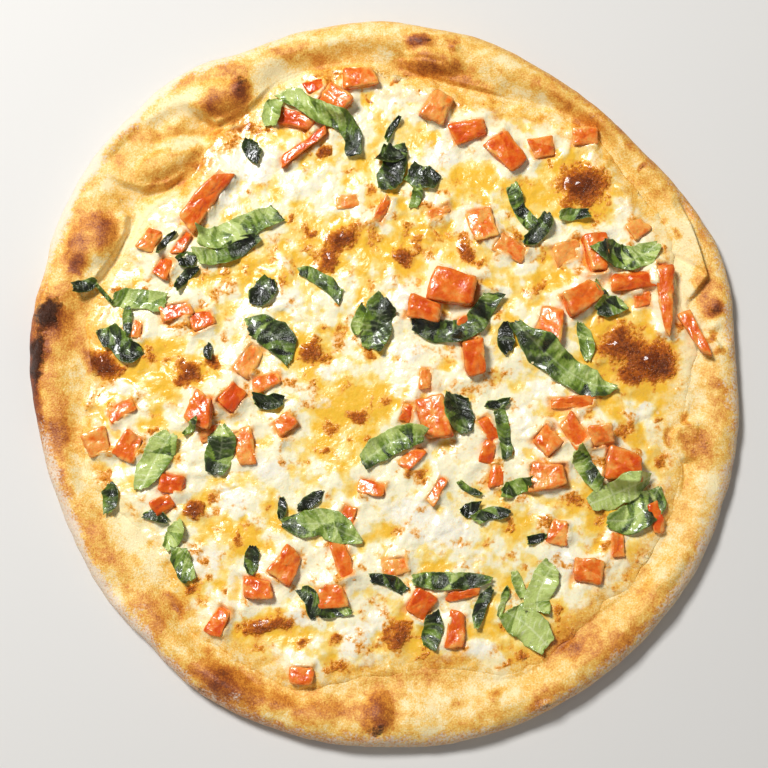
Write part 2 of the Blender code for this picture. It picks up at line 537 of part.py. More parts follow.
def finished(name, points, faces, material):
    """An object in the scene from its points and faces, shaded smooth, facing outward."""
    mesh = bpy.data.meshes.new(name)
    mesh.from_pydata([tuple(point) for point in points], [], faces)
    work = bmesh.new()
    work.from_mesh(mesh)
    bmesh.ops.triangulate(work, faces=work.faces[:])
    if work.calc_volume(signed=True) < 0:
        bmesh.ops.reverse_faces(work, faces=work.faces[:])
    work.to_mesh(mesh)
    work.free()
    mesh.shade_smooth()
    mesh.materials.append(material)
    made = bpy.data.objects.new(name, mesh)
    bpy.context.collection.objects.link(made)
    return made


def bridge(outer, inner):
    """Triangles between two rings of point numbers; the outer one may have twice the points."""
    count, ratio = len(inner), len(outer) // len(inner)
    faces = []
    for step in range(count):
        one, two = inner[step], inner[(step + 1) % count]
        first = outer[(step * ratio) % len(outer)]
        last = outer[((step + 1) * ratio) % len(outer)]
        if ratio == 1:
            faces += [(first, last, two), (first, two, one)]
        else:
            middle = outer[step * ratio + 1]
            faces += [(first, middle, one), (middle, two, one), (middle, last, two)]
    return faces


def ring_solid(name, rings, bottom_middle, top_middle, material):
    """A closed solid through rings of points, from the bottom middle out and up to the top."""
    points = [bottom_middle]
    numbers = []
    for ring in rings:
        numbers.append(list(range(len(points), len(points) + len(ring))))
        points += list(ring)
    points.append(top_middle)
    faces = []
    first, last = numbers[0], numbers[-1]
    for step in range(len(first)):
        faces.append((0, first[(step + 1) % len(first)], first[step]))
    reach = [np.hypot(*ring[:, :2].T).mean() for ring in rings]
    for step in range(len(rings) - 1):
        if reach[step] > reach[step + 1]:
            faces += bridge(numbers[step], numbers[step + 1])
        else:
            faces += [face[::-1] for face in bridge(numbers[step + 1], numbers[step])]
    for step in range(len(last)):
        faces.append((last[step], last[(step + 1) % len(last)], len(points) - 1))
    return finished(name, points, faces, material)


def ring_angles(sides):
    """Angles around a ring, closer together where the rim is folded; coarser rings skip some."""
    fine = np.linspace(0.0, 2 * math.pi, 1441)
    folded = (fine > FOLDED_FROM) & (fine < FOLDED_TO)
    along = np.concatenate([[0.0], np.cumsum(np.where(folded, FOLDED_FINENESS, 1.0)[1:])])
    evenly = np.linspace(0.0, along[-1], SIDES, endpoint=False)
    return np.interp(evenly, along, fine)[::SIDES // sides]


def ring_points(angle, radius, height):
    height = np.broadcast_to(height, angle.shape)
    return np.column_stack([radius * np.cos(angle), radius * np.sin(angle), height])


def on_top(angle, radius, top, lift=0.0):
    """A ring of points on one of the height functions."""
    x, y = radius * np.cos(angle), radius * np.sin(angle)
    return np.column_stack([x, y, top(x, y) + lift])


def slope_radius(angle, step):
    """The radius at a step down the rim's inner slope: 0 the crest, 1 the cheese's edge."""
    flank, width = flank_width(angle), rim_width(angle)
    return outline_radius(angle) - flank - step * (width - flank)


def foot_radius(angle, step):
    """The radius at a step under the cheese: 0 its edge, 1 the flat floor."""
    return slope_radius(angle, 1.0) - step * FOOT_WIDTH


def make_crust(material):
    """The dough: a flat underside, a round side and the ridge, lobes and floor of the top."""
    angle = ring_angles(SIDES)
    outline, flank = outline_radius(angle), flank_width(angle)
    rings = [
        ring_points(angle, outline - UNDERSIDE_INSET, 0.0),
        ring_points(angle, outline - 0.22 * UNDERSIDE_INSET, 0.28 * WIDEST_HEIGHT),
    ]
    rings += [on_top(angle, outline - step * flank, crust_top) for step in FLANK_STEPS]
    rings += [on_top(angle, slope_radius(angle, step), crust_top) for step in SLOPE_STEPS]
    rings += [on_top(angle, foot_radius(angle, step), crust_top) for step in (0.5, 1.0)]
    return ring_solid("crust", rings, (0, 0, 0), (0, 0, FLOOR_HEIGHT), material)


def make_cheese(material):
    """The cheese: its underside keeps a gap to the dough's own rings, its top is uneven."""
    angle = ring_angles(SIDES)
    rings = [on_top(angle, foot_radius(angle, step), crust_top, FRESH_GAP)
             for step in (1.0, 0.5, 0.0)]
    rings += [on_top(angle, foot_radius(angle, step), cheese_top)
              for step in (CHEESE_EDGE_WIDTH / FOOT_WIDTH, 0.5, 1.0)]
    for share, sides in CHEESE_RINGS:
        angle = ring_angles(sides)
        rings.append(on_top(angle, share * foot_radius(angle, 1.0), cheese_top))
    under = FLOOR_HEIGHT + FRESH_GAP
    middle = float(cheese_top(np.zeros(1), np.zeros(1))[0])
    return ring_solid("cheese", rings, (0, 0, under), (0, 0, middle), material)


def make_dice(dice, ground, sink, rounding, material):
    """A block with bevelled edges, narrowed along its length, on sloping ground."""
    length, width, height = (side * MM for side in dice.size)
    work = bmesh.new()
    bmesh.ops.create_cube(work, size=1.0)
    for vertex in work.verts:
        far = vertex.co.x + 0.5
        vertex.co.x *= length
        vertex.co.y *= width * (1 - dice.narrowing * far) * (0.86 + 0.28 * (vertex.co.z < 0))
        vertex.co.z = (vertex.co.z + 0.5) * height * (1 - 0.25 * dice.narrowing * far)
    if rounding:
        bmesh.ops.bevel(work, geom=work.edges[:], offset=rounding * min(width, height),
                        segments=1, profile=0.5, affect="EDGES", clamp_overlap=True)
    middle = place(dice.seen_at, 2 * FLOOR_HEIGHT) - MIDDLE
    turn = math.radians(dice.turn)
    along = np.array([math.cos(turn), math.sin(turn)])
    across = np.array([-along[1], along[0]])
    reach = 0.4 * np.array([length, width])
    ends = [middle + along * reach[0], middle - along * reach[0],
            middle + across * reach[1], middle - across * reach[1]]
    heights = [float(ground(np.array([x]), np.array([y]))[0]) for x, y in ends]
    slope_along = (heights[0] - heights[1]) / (2 * reach[0])
    slope_across = (heights[2] - heights[3]) / (2 * reach[1])
    base = sum(heights) / 4 - sink
    for vertex in work.verts:
        forward, aside, up = vertex.co
        x, y = middle + along * forward + across * aside
        up += base + slope_along * forward + slope_across * aside
        dough = float(crust_top(np.array([x]), np.array([y]))[0])
        vertex.co = (x, y, max(up, dough + 2.5 * FRESH_GAP))
    points = [vertex.co.copy() for vertex in work.verts]
    faces = [[vertex.index for vertex in face.verts] for face in work.faces]
    work.free()
    return finished(dice.name, points, faces, material)


def leaf_grid(leaf, ground_height):
    """The leaf's lower side: a strip along its middle line, laid on what is under it."""
    line = np.array([place(seen_at, 2.5 * FLOOR_HEIGHT) - MIDDLE for seen_at in leaf.seen_along])
    length = np.hypot(*np.diff(line, axis=0).T).sum()
    steps = max(3, round(length / LEAF_STEP_LENGTH))
    share = np.linspace(0.0, 1.0, steps + 1)
    middle = through(line, share * (len(line) - 1))
    ahead = np.gradient(middle, axis=0)
    ahead /= np.hypot(*ahead.T)[:, None]
    side = np.column_stack([-ahead[:, 1], ahead[:, 0]])
    ends = leaf.ends[0] * (1 - share) + leaf.ends[1] * share
    full = ends + (1 - ends) * np.sin(math.pi * share) ** 0.5
    across = np.linspace(-1.0, 1.0, LEAF_STEPS_ACROSS + 1)
    curl, tilt = math.radians(leaf.curl), math.radians(leaf.tilt)
    half = 0.5 * leaf.width * MM * full[:, None]
    bend = max(curl, 1e-3)
    reach = half * np.sin(bend * across) / bend * math.cos(tilt)
    rise = half * (1 - np.cos(bend * across)) / bend + half * across * math.sin(tilt)
    waves = 2 * math.pi * share[:, None] * length / LEAF_WAVE + 0.9 * across
    rise = rise + LEAF_RIPPLE * (np.sin(waves) + 1) / 2
    plan = middle[:, None, :] + side[:, None, :] * reach[:, :, None]
    ground = np.array([[highest(ground_height, x, y) for x, y in row] for row in plan])
    return plan, eased_over(ground) + rise


def highest(ground_height, x, y):
    """The highest ground within reach of one point of a leaf's mesh."""
    near = (-0.4 * LEAF_STEP_LENGTH, 0.0, 0.4 * LEAF_STEP_LENGTH)
    return max(ground_height(x + east, y + north) for east in near for north in near)


def eased_over(ground):
    """A sheet laid over uneven ground: it bridges the hollows and never goes below."""
    sheet = ground.copy()
    for _ in range(8):
        padded = np.pad(sheet, 1, mode="edge")
        near = (padded[:-2, 1:-1] + padded[2:, 1:-1] + padded[1:-1, :-2] + padded[1:-1, 2:]) / 4
        sheet = np.maximum(ground, near)
    return sheet


def make_leaf(leaf, ground_height, material):
    """A thin wavy solid whose upper and lower sides are split into the same triangles."""
    plan, height = leaf_grid(leaf, ground_height)
    rows, columns = height.shape
    lower = np.dstack([plan, height + FRESH_GAP]).reshape(-1, 3)
    upper = lower + (0.0, 0.0, LEAF_THICKNESS)
    points = np.vstack([lower, upper])
    count = rows * columns
    faces = []
    for row in range(rows - 1):
        for column in range(columns - 1):
            a = row * columns + column
            b, c, d = a + 1, a + columns + 1, a + columns
            faces += [(a, b, c), (a, c, d)]
            faces += [(count + a, count + c, count + b), (count + a, count + d, count + c)]
    rim = ([column for column in range(columns)]
           + [row * columns + columns - 1 for row in range(1, rows)]
           + [(rows - 1) * columns + column for column in range(columns - 2, -1, -1)]
           + [row * columns for row in range(rows - 2, 0, -1)])
    for one, two in zip(rim, rim[1:] + rim[:1]):
        faces += [(one, count + one, count + two), (one, count + two, two)]
    return finished(leaf.name, points, faces, material)


# ---------------------------------------------------------------- laying pieces on each other


def fused(base, pieces):
    """Joins small pieces to the one they lie on with one union, and removes them."""
    group = bpy.data.collections.new("small toppings")
    for piece in pieces:
        bpy.context.collection.objects.unlink(piece)
        group.objects.link(piece)
    union = base.modifiers.new("fuse", "BOOLEAN")
    union.operation = "UNION"
    union.operand_type = "COLLECTION"
    union.collection = group
    union.solver = "MANIFOLD"
    graph = bpy.context.evaluated_depsgraph_get()
    joined = bpy.data.meshes.new_from_object(base.evaluated_get(graph))
    base.modifiers.clear()
    base.data = joined
    for piece in pieces:
        bpy.data.objects.remove(piece)
    bpy.data.collections.remove(group)


class Pile:
    """The pieces that lie in place, to find what is under the next one."""

    HIGH = 0.1

    def __init__(self, solids):
        self.points = []
        self.triangles = []
        for solid in solids:
            self.add(solid)

    def add(self, solid):
        start = len(self.points)
        self.points += [vertex.co.copy() for vertex in solid.data.vertices]
        self.triangles += [[start + number for number in face.vertices]
                           for face in solid.data.polygons]
        self.tree = BVHTree.FromPolygons(self.points, self.triangles)

    def height(self, x, y):
        """The highest surface at a place, seen from above."""
        hit = self.tree.ray_cast(Vector((x, y, self.HIGH)), Vector((0, 0, -1)))[0]
        return hit.z if hit else 0.0

    def lay(self, solid):
        """Moves a solid straight up or down until it just lies on the pile, then adds it."""
        points = [vertex.co.copy() for vertex in solid.data.vertices]
        faces = [list(face.vertices) for face in solid.data.polygons]
        own = BVHTree.FromPolygons(points, faces)
        lift = max(self.height(point.x, point.y) - point.z for point in points)
        low = Vector(map(min, zip(*points)))
        high = Vector(map(max, zip(*points)))
        for point in self.points:
            if low.x < point.x < high.x and low.y < point.y < high.y:
                hit = own.ray_cast(Vector((point.x, point.y, -self.HIGH)), Vector((0, 0, 1)))[0]
                if hit:
                    lift = max(lift, point.z - hit.z)
        lift += FRESH_GAP
        step = 0.1 * MM
        while BVHTree.FromPolygons([point + Vector((0, 0, lift)) for point in points],
                                   faces).overlap(self.tree):
            lift += step
        for vertex in solid.data.vertices:
            vertex.co.z += lift
        self.add(solid)


# ---------------------------------------------------------------- materials and the whole


def finish(name, colour, roughness):
    """A plain material: base colour in linear RGB and roughness."""
    material = bpy.data.materials.new(name)
    material.use_nodes = True
    shader = material.node_tree.nodes["Principled BSDF"]
    shader.inputs["Base Color"].default_value = (*colour, 1.0)
    shader.inputs["Roughness"].default_value = roughness
    shader.inputs["Metallic"].default_value = 0.0
    material.diffuse_color = (*colour, 1.0)
    return material


def clear_scene():
    for thing in list(bpy.data.objects):
        bpy.data.objects.remove(thing)


def centre_on_origin(solids):
    """Moves every piece alike, so that the whole stands on the middle of its own box."""
    corners = np.array([vertex.co for solid in solids for vertex in solid.data.vertices])
    low, high = corners.min(axis=0), corners.max(axis=0)
    shift = Vector((-(low[0] + high[0]) / 2, -(low[1] + high[1]) / 2, -low[2]))
    for solid in solids:
        for vertex in solid.data.vertices:
            vertex.co += shift


def build_pizza():
    clear_scene()
    dough = finish("baked dough", (0.80, 0.50, 0.19), 0.65)
    melted = finish("melted cheese", (0.93, 0.78, 0.45), 0.35)
    flesh = finish("tomato flesh", (0.72, 0.11, 0.02), 0.25)
    green = finish("basil leaf", (0.06, 0.13, 0.02), 0.4)

    crust = make_crust(dough)
    cheese = make_cheese(melted)
    small = [make_dice(dice, cheese_top, SINK, 0, melted) for dice in SMALL_TOMATOES + SCRAPS]
    fused(cheese, small)

    solids = [crust, cheese]
    pile = Pile(solids)
    for leaf in BASIL:
        if leaf.name == "basil_under_tomato":
            solids.append(make_leaf(leaf, pile.height, green))
            pile.lay(solids[-1])
    for dice in TOMATOES:
        solids.append(make_dice(dice, cheese_top, 0.0, TOMATO_ROUNDING, flesh))
        pile.lay(solids[-1])
    for leaf in BASIL:
        if leaf.name != "basil_under_tomato":
            solids.append(make_leaf(leaf, pile.height, green))
            pile.lay(solids[-1])
    centre_on_origin(solids)


build_pizza()
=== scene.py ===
"""The looks of a whole caprese pizza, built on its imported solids.

Metres, +Z up, in the frame of the solids. A place on the pizza is written as it is seen in the
picture, in pixels, and `place` turns it into metres. Sizes are written as real sizes.
"""

import math
from collections import namedtuple
from functools import partial

import bpy
import numpy as np
from bpy.props import FloatProperty, FloatVectorProperty, PointerProperty
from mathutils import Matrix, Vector


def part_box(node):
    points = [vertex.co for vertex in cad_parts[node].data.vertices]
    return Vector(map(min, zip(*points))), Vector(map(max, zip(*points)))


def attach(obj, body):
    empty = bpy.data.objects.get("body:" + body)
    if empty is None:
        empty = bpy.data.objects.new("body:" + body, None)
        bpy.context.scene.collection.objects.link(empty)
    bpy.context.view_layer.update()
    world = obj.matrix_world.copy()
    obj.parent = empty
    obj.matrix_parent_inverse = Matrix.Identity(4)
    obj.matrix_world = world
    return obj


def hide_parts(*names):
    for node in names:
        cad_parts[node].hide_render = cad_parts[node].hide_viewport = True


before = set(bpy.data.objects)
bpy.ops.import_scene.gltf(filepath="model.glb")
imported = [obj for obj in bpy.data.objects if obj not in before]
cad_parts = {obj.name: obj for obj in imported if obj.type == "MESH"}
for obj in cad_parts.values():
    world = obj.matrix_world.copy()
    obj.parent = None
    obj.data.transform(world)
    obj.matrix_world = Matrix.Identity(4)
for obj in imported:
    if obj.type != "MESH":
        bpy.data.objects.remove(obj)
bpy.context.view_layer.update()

bl_info = {
    "name": "Caprese pizza",
    "version": (1, 0, 0),
    "blender": (4, 5, 0),
    "location": "3D View > Sidebar > Pizza",
    "description": "Builds the baked crust, melted cheese, tomato and basil of a caprese pizza",
    "category": "Add Mesh",
}

MM = 0.001


# ------------------------------------------------------------------ sizes of the solids
PIZZA_WIDTH = 0.315
UNDERSIDE_INSET = 4.5 * MM
WIDEST_HEIGHT = 3.6 * MM
FLANK_WIDTH = 9.0 * MM
FLOOR_HEIGHT = 4.5 * MM
EDGE_HEIGHT = 7.6 * MM
FOOT_WIDTH = 9.0 * MM
LOBE_BLEND = 1.5 * MM
LOBE_ROUNDNESS = 2.6
RIM_ROUNDNESS = 2.2
FOLDS_END = 0.84
LEDGE_STEP = 1.8 * MM
LEDGE_DIP_WIDTH = 9.0 * MM
LEDGE_FADE = 0.22
CHEESE_DEPTH = 3.7 * MM
CHEESE_SKIN = 0.8 * MM
CHEESE_BLEND = 2.0 * MM
FRESH_GAP = 0.3 * MM

# Sizes of the finer forms.
CHEESE_EDGE_WIDTH = 7.0 * MM
BANK_WIDTH = 2.6 * MM
VEIN_WIDTH = 0.26 * MM
MIDRIB_WIDTH = 0.25 * MM
JUICE_WIDTH = 1.8 * MM
STAIN_CELL = 5.0 * MM
STAIN_WIDENED = 1.35
CRAG_HEIGHT = 1.8 * MM
DICE_DIP = 0.8 * MM
LEAF_LIFT = 0.4 * MM
SECTION_SQUARENESS = 14.0

# Heights at which spots and dice, and edges and leaves, are seen.
SPOT_HEIGHT = 9.0 * MM
LINE_HEIGHT = 11.25 * MM

# How the picture was taken: nearly straight down, from a little below the middle.
PIZZA_WIDTH_SEEN = 708.0
LENS_PIXELS = 1500.0
PICTURE_PIXELS = 768.0
VIEW_TILT = math.radians(7.0)
PICTURE_MIDDLE = 384.0
VIEW_DISTANCE = LENS_PIXELS * PIZZA_WIDTH / PIZZA_WIDTH_SEEN
PIZZA_MIDDLE_SEEN = (384.0, 385.0)
SENSOR_WIDTH_MM = 36.0

# The stage: half the side of the floor, and the lights, each with its power's property, its
# side and its place.
FLOOR_REACH = 3.0
LIGHTS = (
    ("key light", "key_power", 0.32, (-0.56, 0.63, 1.23)),
    ("right fill", "fill_power", 1.2, (0.95, -0.5, 0.75)),
    ("left fill", "fill_power", 1.2, (-0.75, -0.85, 0.75)),
)

# Mesh fineness.
CRUST_SIDES = 900
CRUST_RINGS_UNDER, CRUST_RINGS_TURN, CRUST_RINGS_FLANK = 14, 8, 30
CRUST_RINGS_SLOPE, CRUST_RINGS_FOOT = 48, 4
CHEESE_CELLS = 292
DICE_AROUND, DICE_UP = 56, 28
LEAF_ALONG, LEAF_ACROSS = 60, 20
DRAPE_STEPS = 60
SOLID_SIDES = 2880

# Noise repeats after this many cells. Noise by angle is read on a circle of this radius.
GRID = 64
NOISE_REACH = 0.15

# The outline, seen from above, clockwise from the top.
OUTLINE_SEEN = (
    (384, 24), (440, 32), (480, 41), (520, 59), (560, 83), (600, 112), (640, 150), (685, 198), (718, 251),
    (731, 295), (733, 335), (738, 400), (738, 432), (727, 488), (710, 540), (697, 568), (664, 616),
    (615, 666), (550, 710), (480, 737), (400, 747), (330, 743), (260, 723), (196, 690), (152, 648),
    (100, 589), (66, 520), (46, 460), (33, 390), (30, 355), (37, 301), (46, 271), (55, 231), (69, 201),
    (100, 151), (130, 119), (160, 91), (200, 67), (240, 55), (290, 37), (330, 28),
)

# The edge of the cheese, seen from above, counterclockwise from the right.
CHEESE_EDGE_SEEN = (
    (690, 380), (699, 345), (682, 300), (673, 250), (658, 215), (640, 190), (618, 162), (594, 133),
    (558, 112), (505, 100), (470, 92), (432, 80), (400, 72), (360, 64), (320, 69), (280, 82), (250, 113),
    (220, 130), (200, 160), (183, 186), (150, 212), (130, 245), (108, 285), (86, 315), (92, 365),
    (80, 430), (88, 480), (127, 520), (160, 565), (188, 625), (225, 652), (290, 688), (345, 684),
    (400, 674), (450, 672), (520, 673), (548, 657), (600, 610), (640, 578), (660, 540), (676, 500),
    (680, 465), (668, 440), (686, 410),
)

# The height of the rim's crest by angle, counterclockwise from +X, in degrees and mm.
CREST = (
    (0, 10.5), (15, 11.5), (30, 11), (45, 11.5), (58, 13), (72, 14), (85, 14), (100, 13), (112, 12.5),
    (125, 12), (140, 11.5), (152, 11), (163, 11.5), (175, 12), (190, 11), (205, 10.5), (220, 11),
    (235, 13.5), (250, 14), (265, 13.5), (280, 13), (295, 13.5), (310, 13.5), (325, 12.5), (340, 11.5),
)

# Folded lobes of dough: an oval and its crest in mm. An oval is the two numbers of its middle in
# pixels, half its length, half its width and its turn in degrees. Here the sizes are in mm.
LOBES = (
    (212, 97, 26, 13, 10, 14.5), (161, 163, 23, 10.5, 25, 13.2), (88, 242, 24, 17, 58, 13.5),
    (118, 138, 30, 10, 46, 13.5), (436, 60, 24, 9, -12, 15), (668, 575, 30, 9, 52, 13.5),
)

# Blisters and dents: an oval in mm, and its rise in mm.
RIM_BLISTERS = (
    (128, 200, 12, 7, 12, -0.8), (165, 122, 17, 5, 30, -1.4), (683, 210, 8, 5, -60, -2.0),
    (55, 430, 22, 8, -72, -1.0), (118, 590, 26, 9, -50, -1.2), (378, 711, 11, 8, 95, 3.4),
    (420, 45, 8, 6.5, -10, 2.0), (454, 51, 3.5, 2.8, 0, 1.2), (242, 89, 6, 5.5, 70, 1.6),
    (48, 318, 9, 7, 60, 1.6), (40, 355, 11, 5, 88, 1.2), (711, 328, 6, 3.2, 25, 1.8),
    (714, 308, 5, 3.4, 80, 1.0), (545, 706, 7, 4, 20, 1.4), (566, 645, 7, 5.5, 5, 1.8),
    (222, 682, 17, 7, -25, 1.8), (492, 697, 5, 4, 0, 1.0),
)

CHEESE_BLISTERS = (
    (583, 184, 11, 8.5, 40, 2.2), (624, 350, 10, 12, 0, 1.8), (656, 362, 10, 8.5, 20, 2.2),
    (343, 238, 9, 6.5, 30, 1.8), (330, 260, 5, 6, 0, 1.2), (404, 257, 6.5, 5, -20, 1.4),
    (103, 364, 8, 6, -40, 2.2), (190, 373, 6.5, 6, 0, 1.6), (311, 353, 5.5, 5.5, 0, 1.4),
    (196, 512, 6, 5, 5, 1.8), (398, 639, 6, 8, 0, 1.4), (263, 627, 12, 3.5, 10, 1.2),
    (466, 250, 5.5, 5.5, 0, 1.2),
)

# Edges of dough folded over: the line as seen, with the high side on its left as it is walked,
# the rise at the edge, how far the rise fades inwards and the dip below the edge, in mm.
Ledge = namedtuple("Ledge", "seen_along rise reach dip")
LEDGES = (
    Ledge(((180, 102), (197, 112), (217, 123), (243, 116), (264, 104), (282, 90)), 3.2, 12, 2.4),
    Ledge(((100, 170), (122, 183), (142, 188), (166, 184), (190, 169), (204, 151), (201, 140),
           (190, 136)),
          1.7, 9, 2.2),
    Ledge(((206, 146), (190, 137), (172, 138), (150, 144)), 1.3, 6, 1.6),
    Ledge(((78, 300), (99, 273), (114, 252), (125, 231), (127, 214), (112, 205)), 1.9, 10, 2.2),
    Ledge(((396, 60), (425, 76), (450, 82), (485, 89), (512, 98)), 2.4, 10, 1.2),
    Ledge(((682, 310), (708, 276), (697, 240), (684, 206), (676, 194)), 3.0, 6, 2.0),
    Ledge(((712, 424), (698, 420), (682, 424), (666, 436), (664, 450), (680, 460), (704, 459)),
          2.6, 7, 1.6),
    Ledge(((726, 350), (710, 334), (696, 330)), 1.8, 4, 1.2),
)

# Creases in the dough: the line as seen, its half width and its depth in mm.
Crease = namedtuple("Crease", "seen_along width depth")
CREASES = (
    Crease(((120, 200), (132, 206), (140, 214)), 1.0, 0.9),
    Crease(((400, 56), (440, 63), (466, 75)), 1.1, 0.7),
    Crease(((677, 255), (690, 263), (703, 273)), 0.9, 1.2),
    Crease(((659, 590), (669, 600)), 1.0, 0.8),
    Crease(((240, 672), (255, 685)), 1.2, 0.8),
    Crease(((208, 152), (194, 173), (169, 189), (143, 193)), 1.5, 1.1),
    Crease(((133, 217), (130, 234), (118, 256), (103, 277)), 1.4, 0.9),
    Crease(((200, 118), (219, 129), (245, 122), (266, 109)), 1.5, 0.9),
)

# The outer side of the rim by angle, counterclockwise from +X: how browned and how floury.
SIDES_BAKED = (
    (0, 0.42, 0.65), (25, 0.4, 0.55), (45, 0.5, 0.35), (62, 0.42, 0.35), (90, 0.3, 0.4), (110, 0.22, 0.6),
    (135, 0.1, 0.95), (155, 0.14, 0.9), (165, 0.45, 0.4), (175, 0.95, 0.1), (182, 0.95, 0.15),
    (190, 0.6, 0.65), (205, 0.5, 0.9), (222, 0.5, 0.85), (245, 0.6, 0.55), (270, 0.45, 0.7),
    (300, 0.45, 0.6), (330, 0.4, 0.75),
)

# Coloured spots: how far their edges wander in mm, the seed of that noise, and the spots, each
# an oval in pixels and its strength. Most are the dough's and cheese's own colour; a few spots on
# the folds of the dough are painted shade and one is a painted highlight, as said at their tables.
Stain = namedtuple("Stain", "wander seed spots")
# Browned dough. The thin strips under the tongue's lower edge at (166, 182) and under the rolled fold's
# edge at (215, 112) are partly browning and partly painted shade under the overhanging dough.
BAKED_AND_SHADE = Stain(1.8, 101, (
    (228, 101, 28, 13, 8, 0.5), (166, 182, 24, 5, 20, 0.3), (241, 90, 11, 12, 0, 0.95),
    (215, 112, 22, 5, -20, 0.45), (102, 224, 22, 11, -8, 0.7), (106, 240, 14, 20, -24, 0.65),
    (80, 268, 15, 10, 40, 0.8), (78, 248, 12, 22, -20, 0.6), (419, 46, 14, 8, -5, 0.9),
    (453, 51, 5, 5, 0, 0.6), (430, 69, 40, 9, -8, 0.6), (340, 52, 40, 8, 4, 0.2),
    (470, 84, 26, 6, -12, 0.5), (560, 100, 60, 10, -38, 0.35), (631, 142, 14, 7, -50, 0.5),
    (643, 166, 5, 5, 0, 0.7), (665, 222, 5, 4, 0, 0.45), (677, 235, 5, 4, 0, 0.45),
    (714, 308, 9, 9, 0, 0.8), (712, 337, 8, 4, 20, 0.6), (720, 352, 4, 4, 0, 0.5),
    (704, 290, 10, 34, 10, 0.35), (688, 440, 20, 13, 5, 0.42), (667, 440, 5, 12, 0, 0.5),
    (685, 419, 5, 8, 0, 0.4), (670, 604, 7, 10, -40, 0.4), (640, 632, 30, 10, 45, 0.35),
    (618, 640, 14, 10, 20, 0.4), (566, 645, 17, 13, 5, 0.6), (545, 706, 15, 9, 10, 0.7),
    (495, 695, 8, 6, 0, 0.45), (458, 703, 8, 5, 0, 0.4), (378, 712, 17, 22, 0, 0.7),
    (340, 712, 60, 10, 0, 0.15), (222, 680, 38, 19, -28, 0.85), (280, 700, 34, 12, -12, 0.5),
    (150, 610, 34, 12, -50, 0.25), (176, 604, 18, 6, -52, 0.5), (152, 547, 5, 5, 0, 0.4),
    (84, 520, 26, 6, -60, 0.15), (52, 318, 18, 20, 0, 0.8), (40, 356, 9, 26, -6, 0.8),
    (74, 345, 14, 10, 0, 0.25), (63, 434, 8, 11, 0, 0.45), (97, 362, 15, 13, -30, 1.0),
    (60, 436, 12, 60, 4, 0.35), (300, 56, 44, 14, -14, 0.4), (362, 66, 30, 8, 10, 0.2),
    (60, 300, 16, 30, 10, 0.3), (280, 55, 40, 9, 15, 0.15), (118, 120, 8, 5, 40, 0.2),
    (520, 82, 30, 8, -28, 0.3),
))
# Charred dough. The small spot at (173, 150) is not char: it is painted shade in the hollow under the
# folded tongue.
CHARRED_AND_SHADE = Stain(1.4, 111, (
    (243, 86, 5, 6, 0, 0.5), (238, 95, 4, 3, 0, 0.45), (49, 313, 14, 18, 0, 1.0),
    (39, 358, 9, 30, -5, 0.95), (426, 44, 6, 4, 0, 0.5), (78, 266, 5, 5, 0, 0.35),
    (714, 308, 5, 5, 0, 0.5), (545, 707, 6, 4, 0, 0.5), (376, 728, 9, 7, 0, 0.55),
    (200, 690, 8, 5, -20, 0.5), (560, 636, 6, 3, 0, 0.45), (643, 166, 3, 3, 0, 0.5),
    (704, 443, 4, 3, 0, 0.4), (173, 150, 4, 3, 0, 0.45), (668, 598, 2.5, 2.5, 0, 0.6),
    (670, 611, 2.5, 2.5, 0, 0.6), (240, 80, 5, 5, 0, 0.3), (384, 706, 4, 3, 0, 0.3),
))
# Dough that stayed pale. The narrow spot at (184, 144) along the tongue's upper edge is a painted
# highlight where light catches the ridge.
PALE_DOUGH_AND_HIGHLIGHT = Stain(2.5, 113, (
    (160, 208, 34, 14, 28, 1.0), (132, 240, 8, 26, -30, 0.9), (180, 108, 40, 14, 30, 0.8),
    (184, 144, 24, 7, 8, 1.0), (104, 186, 16, 9, 40, 0.8), (128, 525, 18, 50, 34, 1.0),
    (84, 405, 24, 56, 8, 0.3), (84, 480, 16, 30, 20, 0.7), (688, 246, 14, 40, 12, 1.0),
    (680, 330, 24, 96, 4, 1.0), (330, 45, 50, 12, 10, 0.2), (560, 95, 60, 14, -26, 0.6),
    (430, 700, 60, 8, 5, 0.5),
))
FLOURED = Stain(3.0, 121, (
    (98, 150, 64, 14, 53, 0.8), (60, 240, 30, 7, 80, 0.35), (238, 702, 10, 6, -20, 0.7),
    (112, 580, 20, 26, -50, 0.5), (130, 620, 12, 22, -42, 0.7), (42, 440, 8, 50, 15, 0.8),
    (60, 510, 8, 40, 22, 0.8), (85, 570, 8, 30, 30, 0.8), (731, 400, 8, 60, 0, 0.7),
    (712, 520, 16, 60, -14, 0.6), (690, 585, 10, 30, -32, 0.5), (380, 742, 120, 8, 0, 0.7),
    (560, 705, 60, 8, 30, 0.3), (176, 78, 56, 12, 36, 0.75), (330, 36, 50, 6, 4, 0.15),
    (470, 46, 40, 6, -18, 0.4), (560, 92, 50, 7, -38, 0.35), (600, 120, 40, 8, -42, 0.3),
    (700, 232, 30, 7, -60, 0.5), (714, 328, 9, 6, 10, 0.5), (150, 640, 30, 8, -44, 0.4),
    (130, 200, 24, 12, 20, 0.5),
))
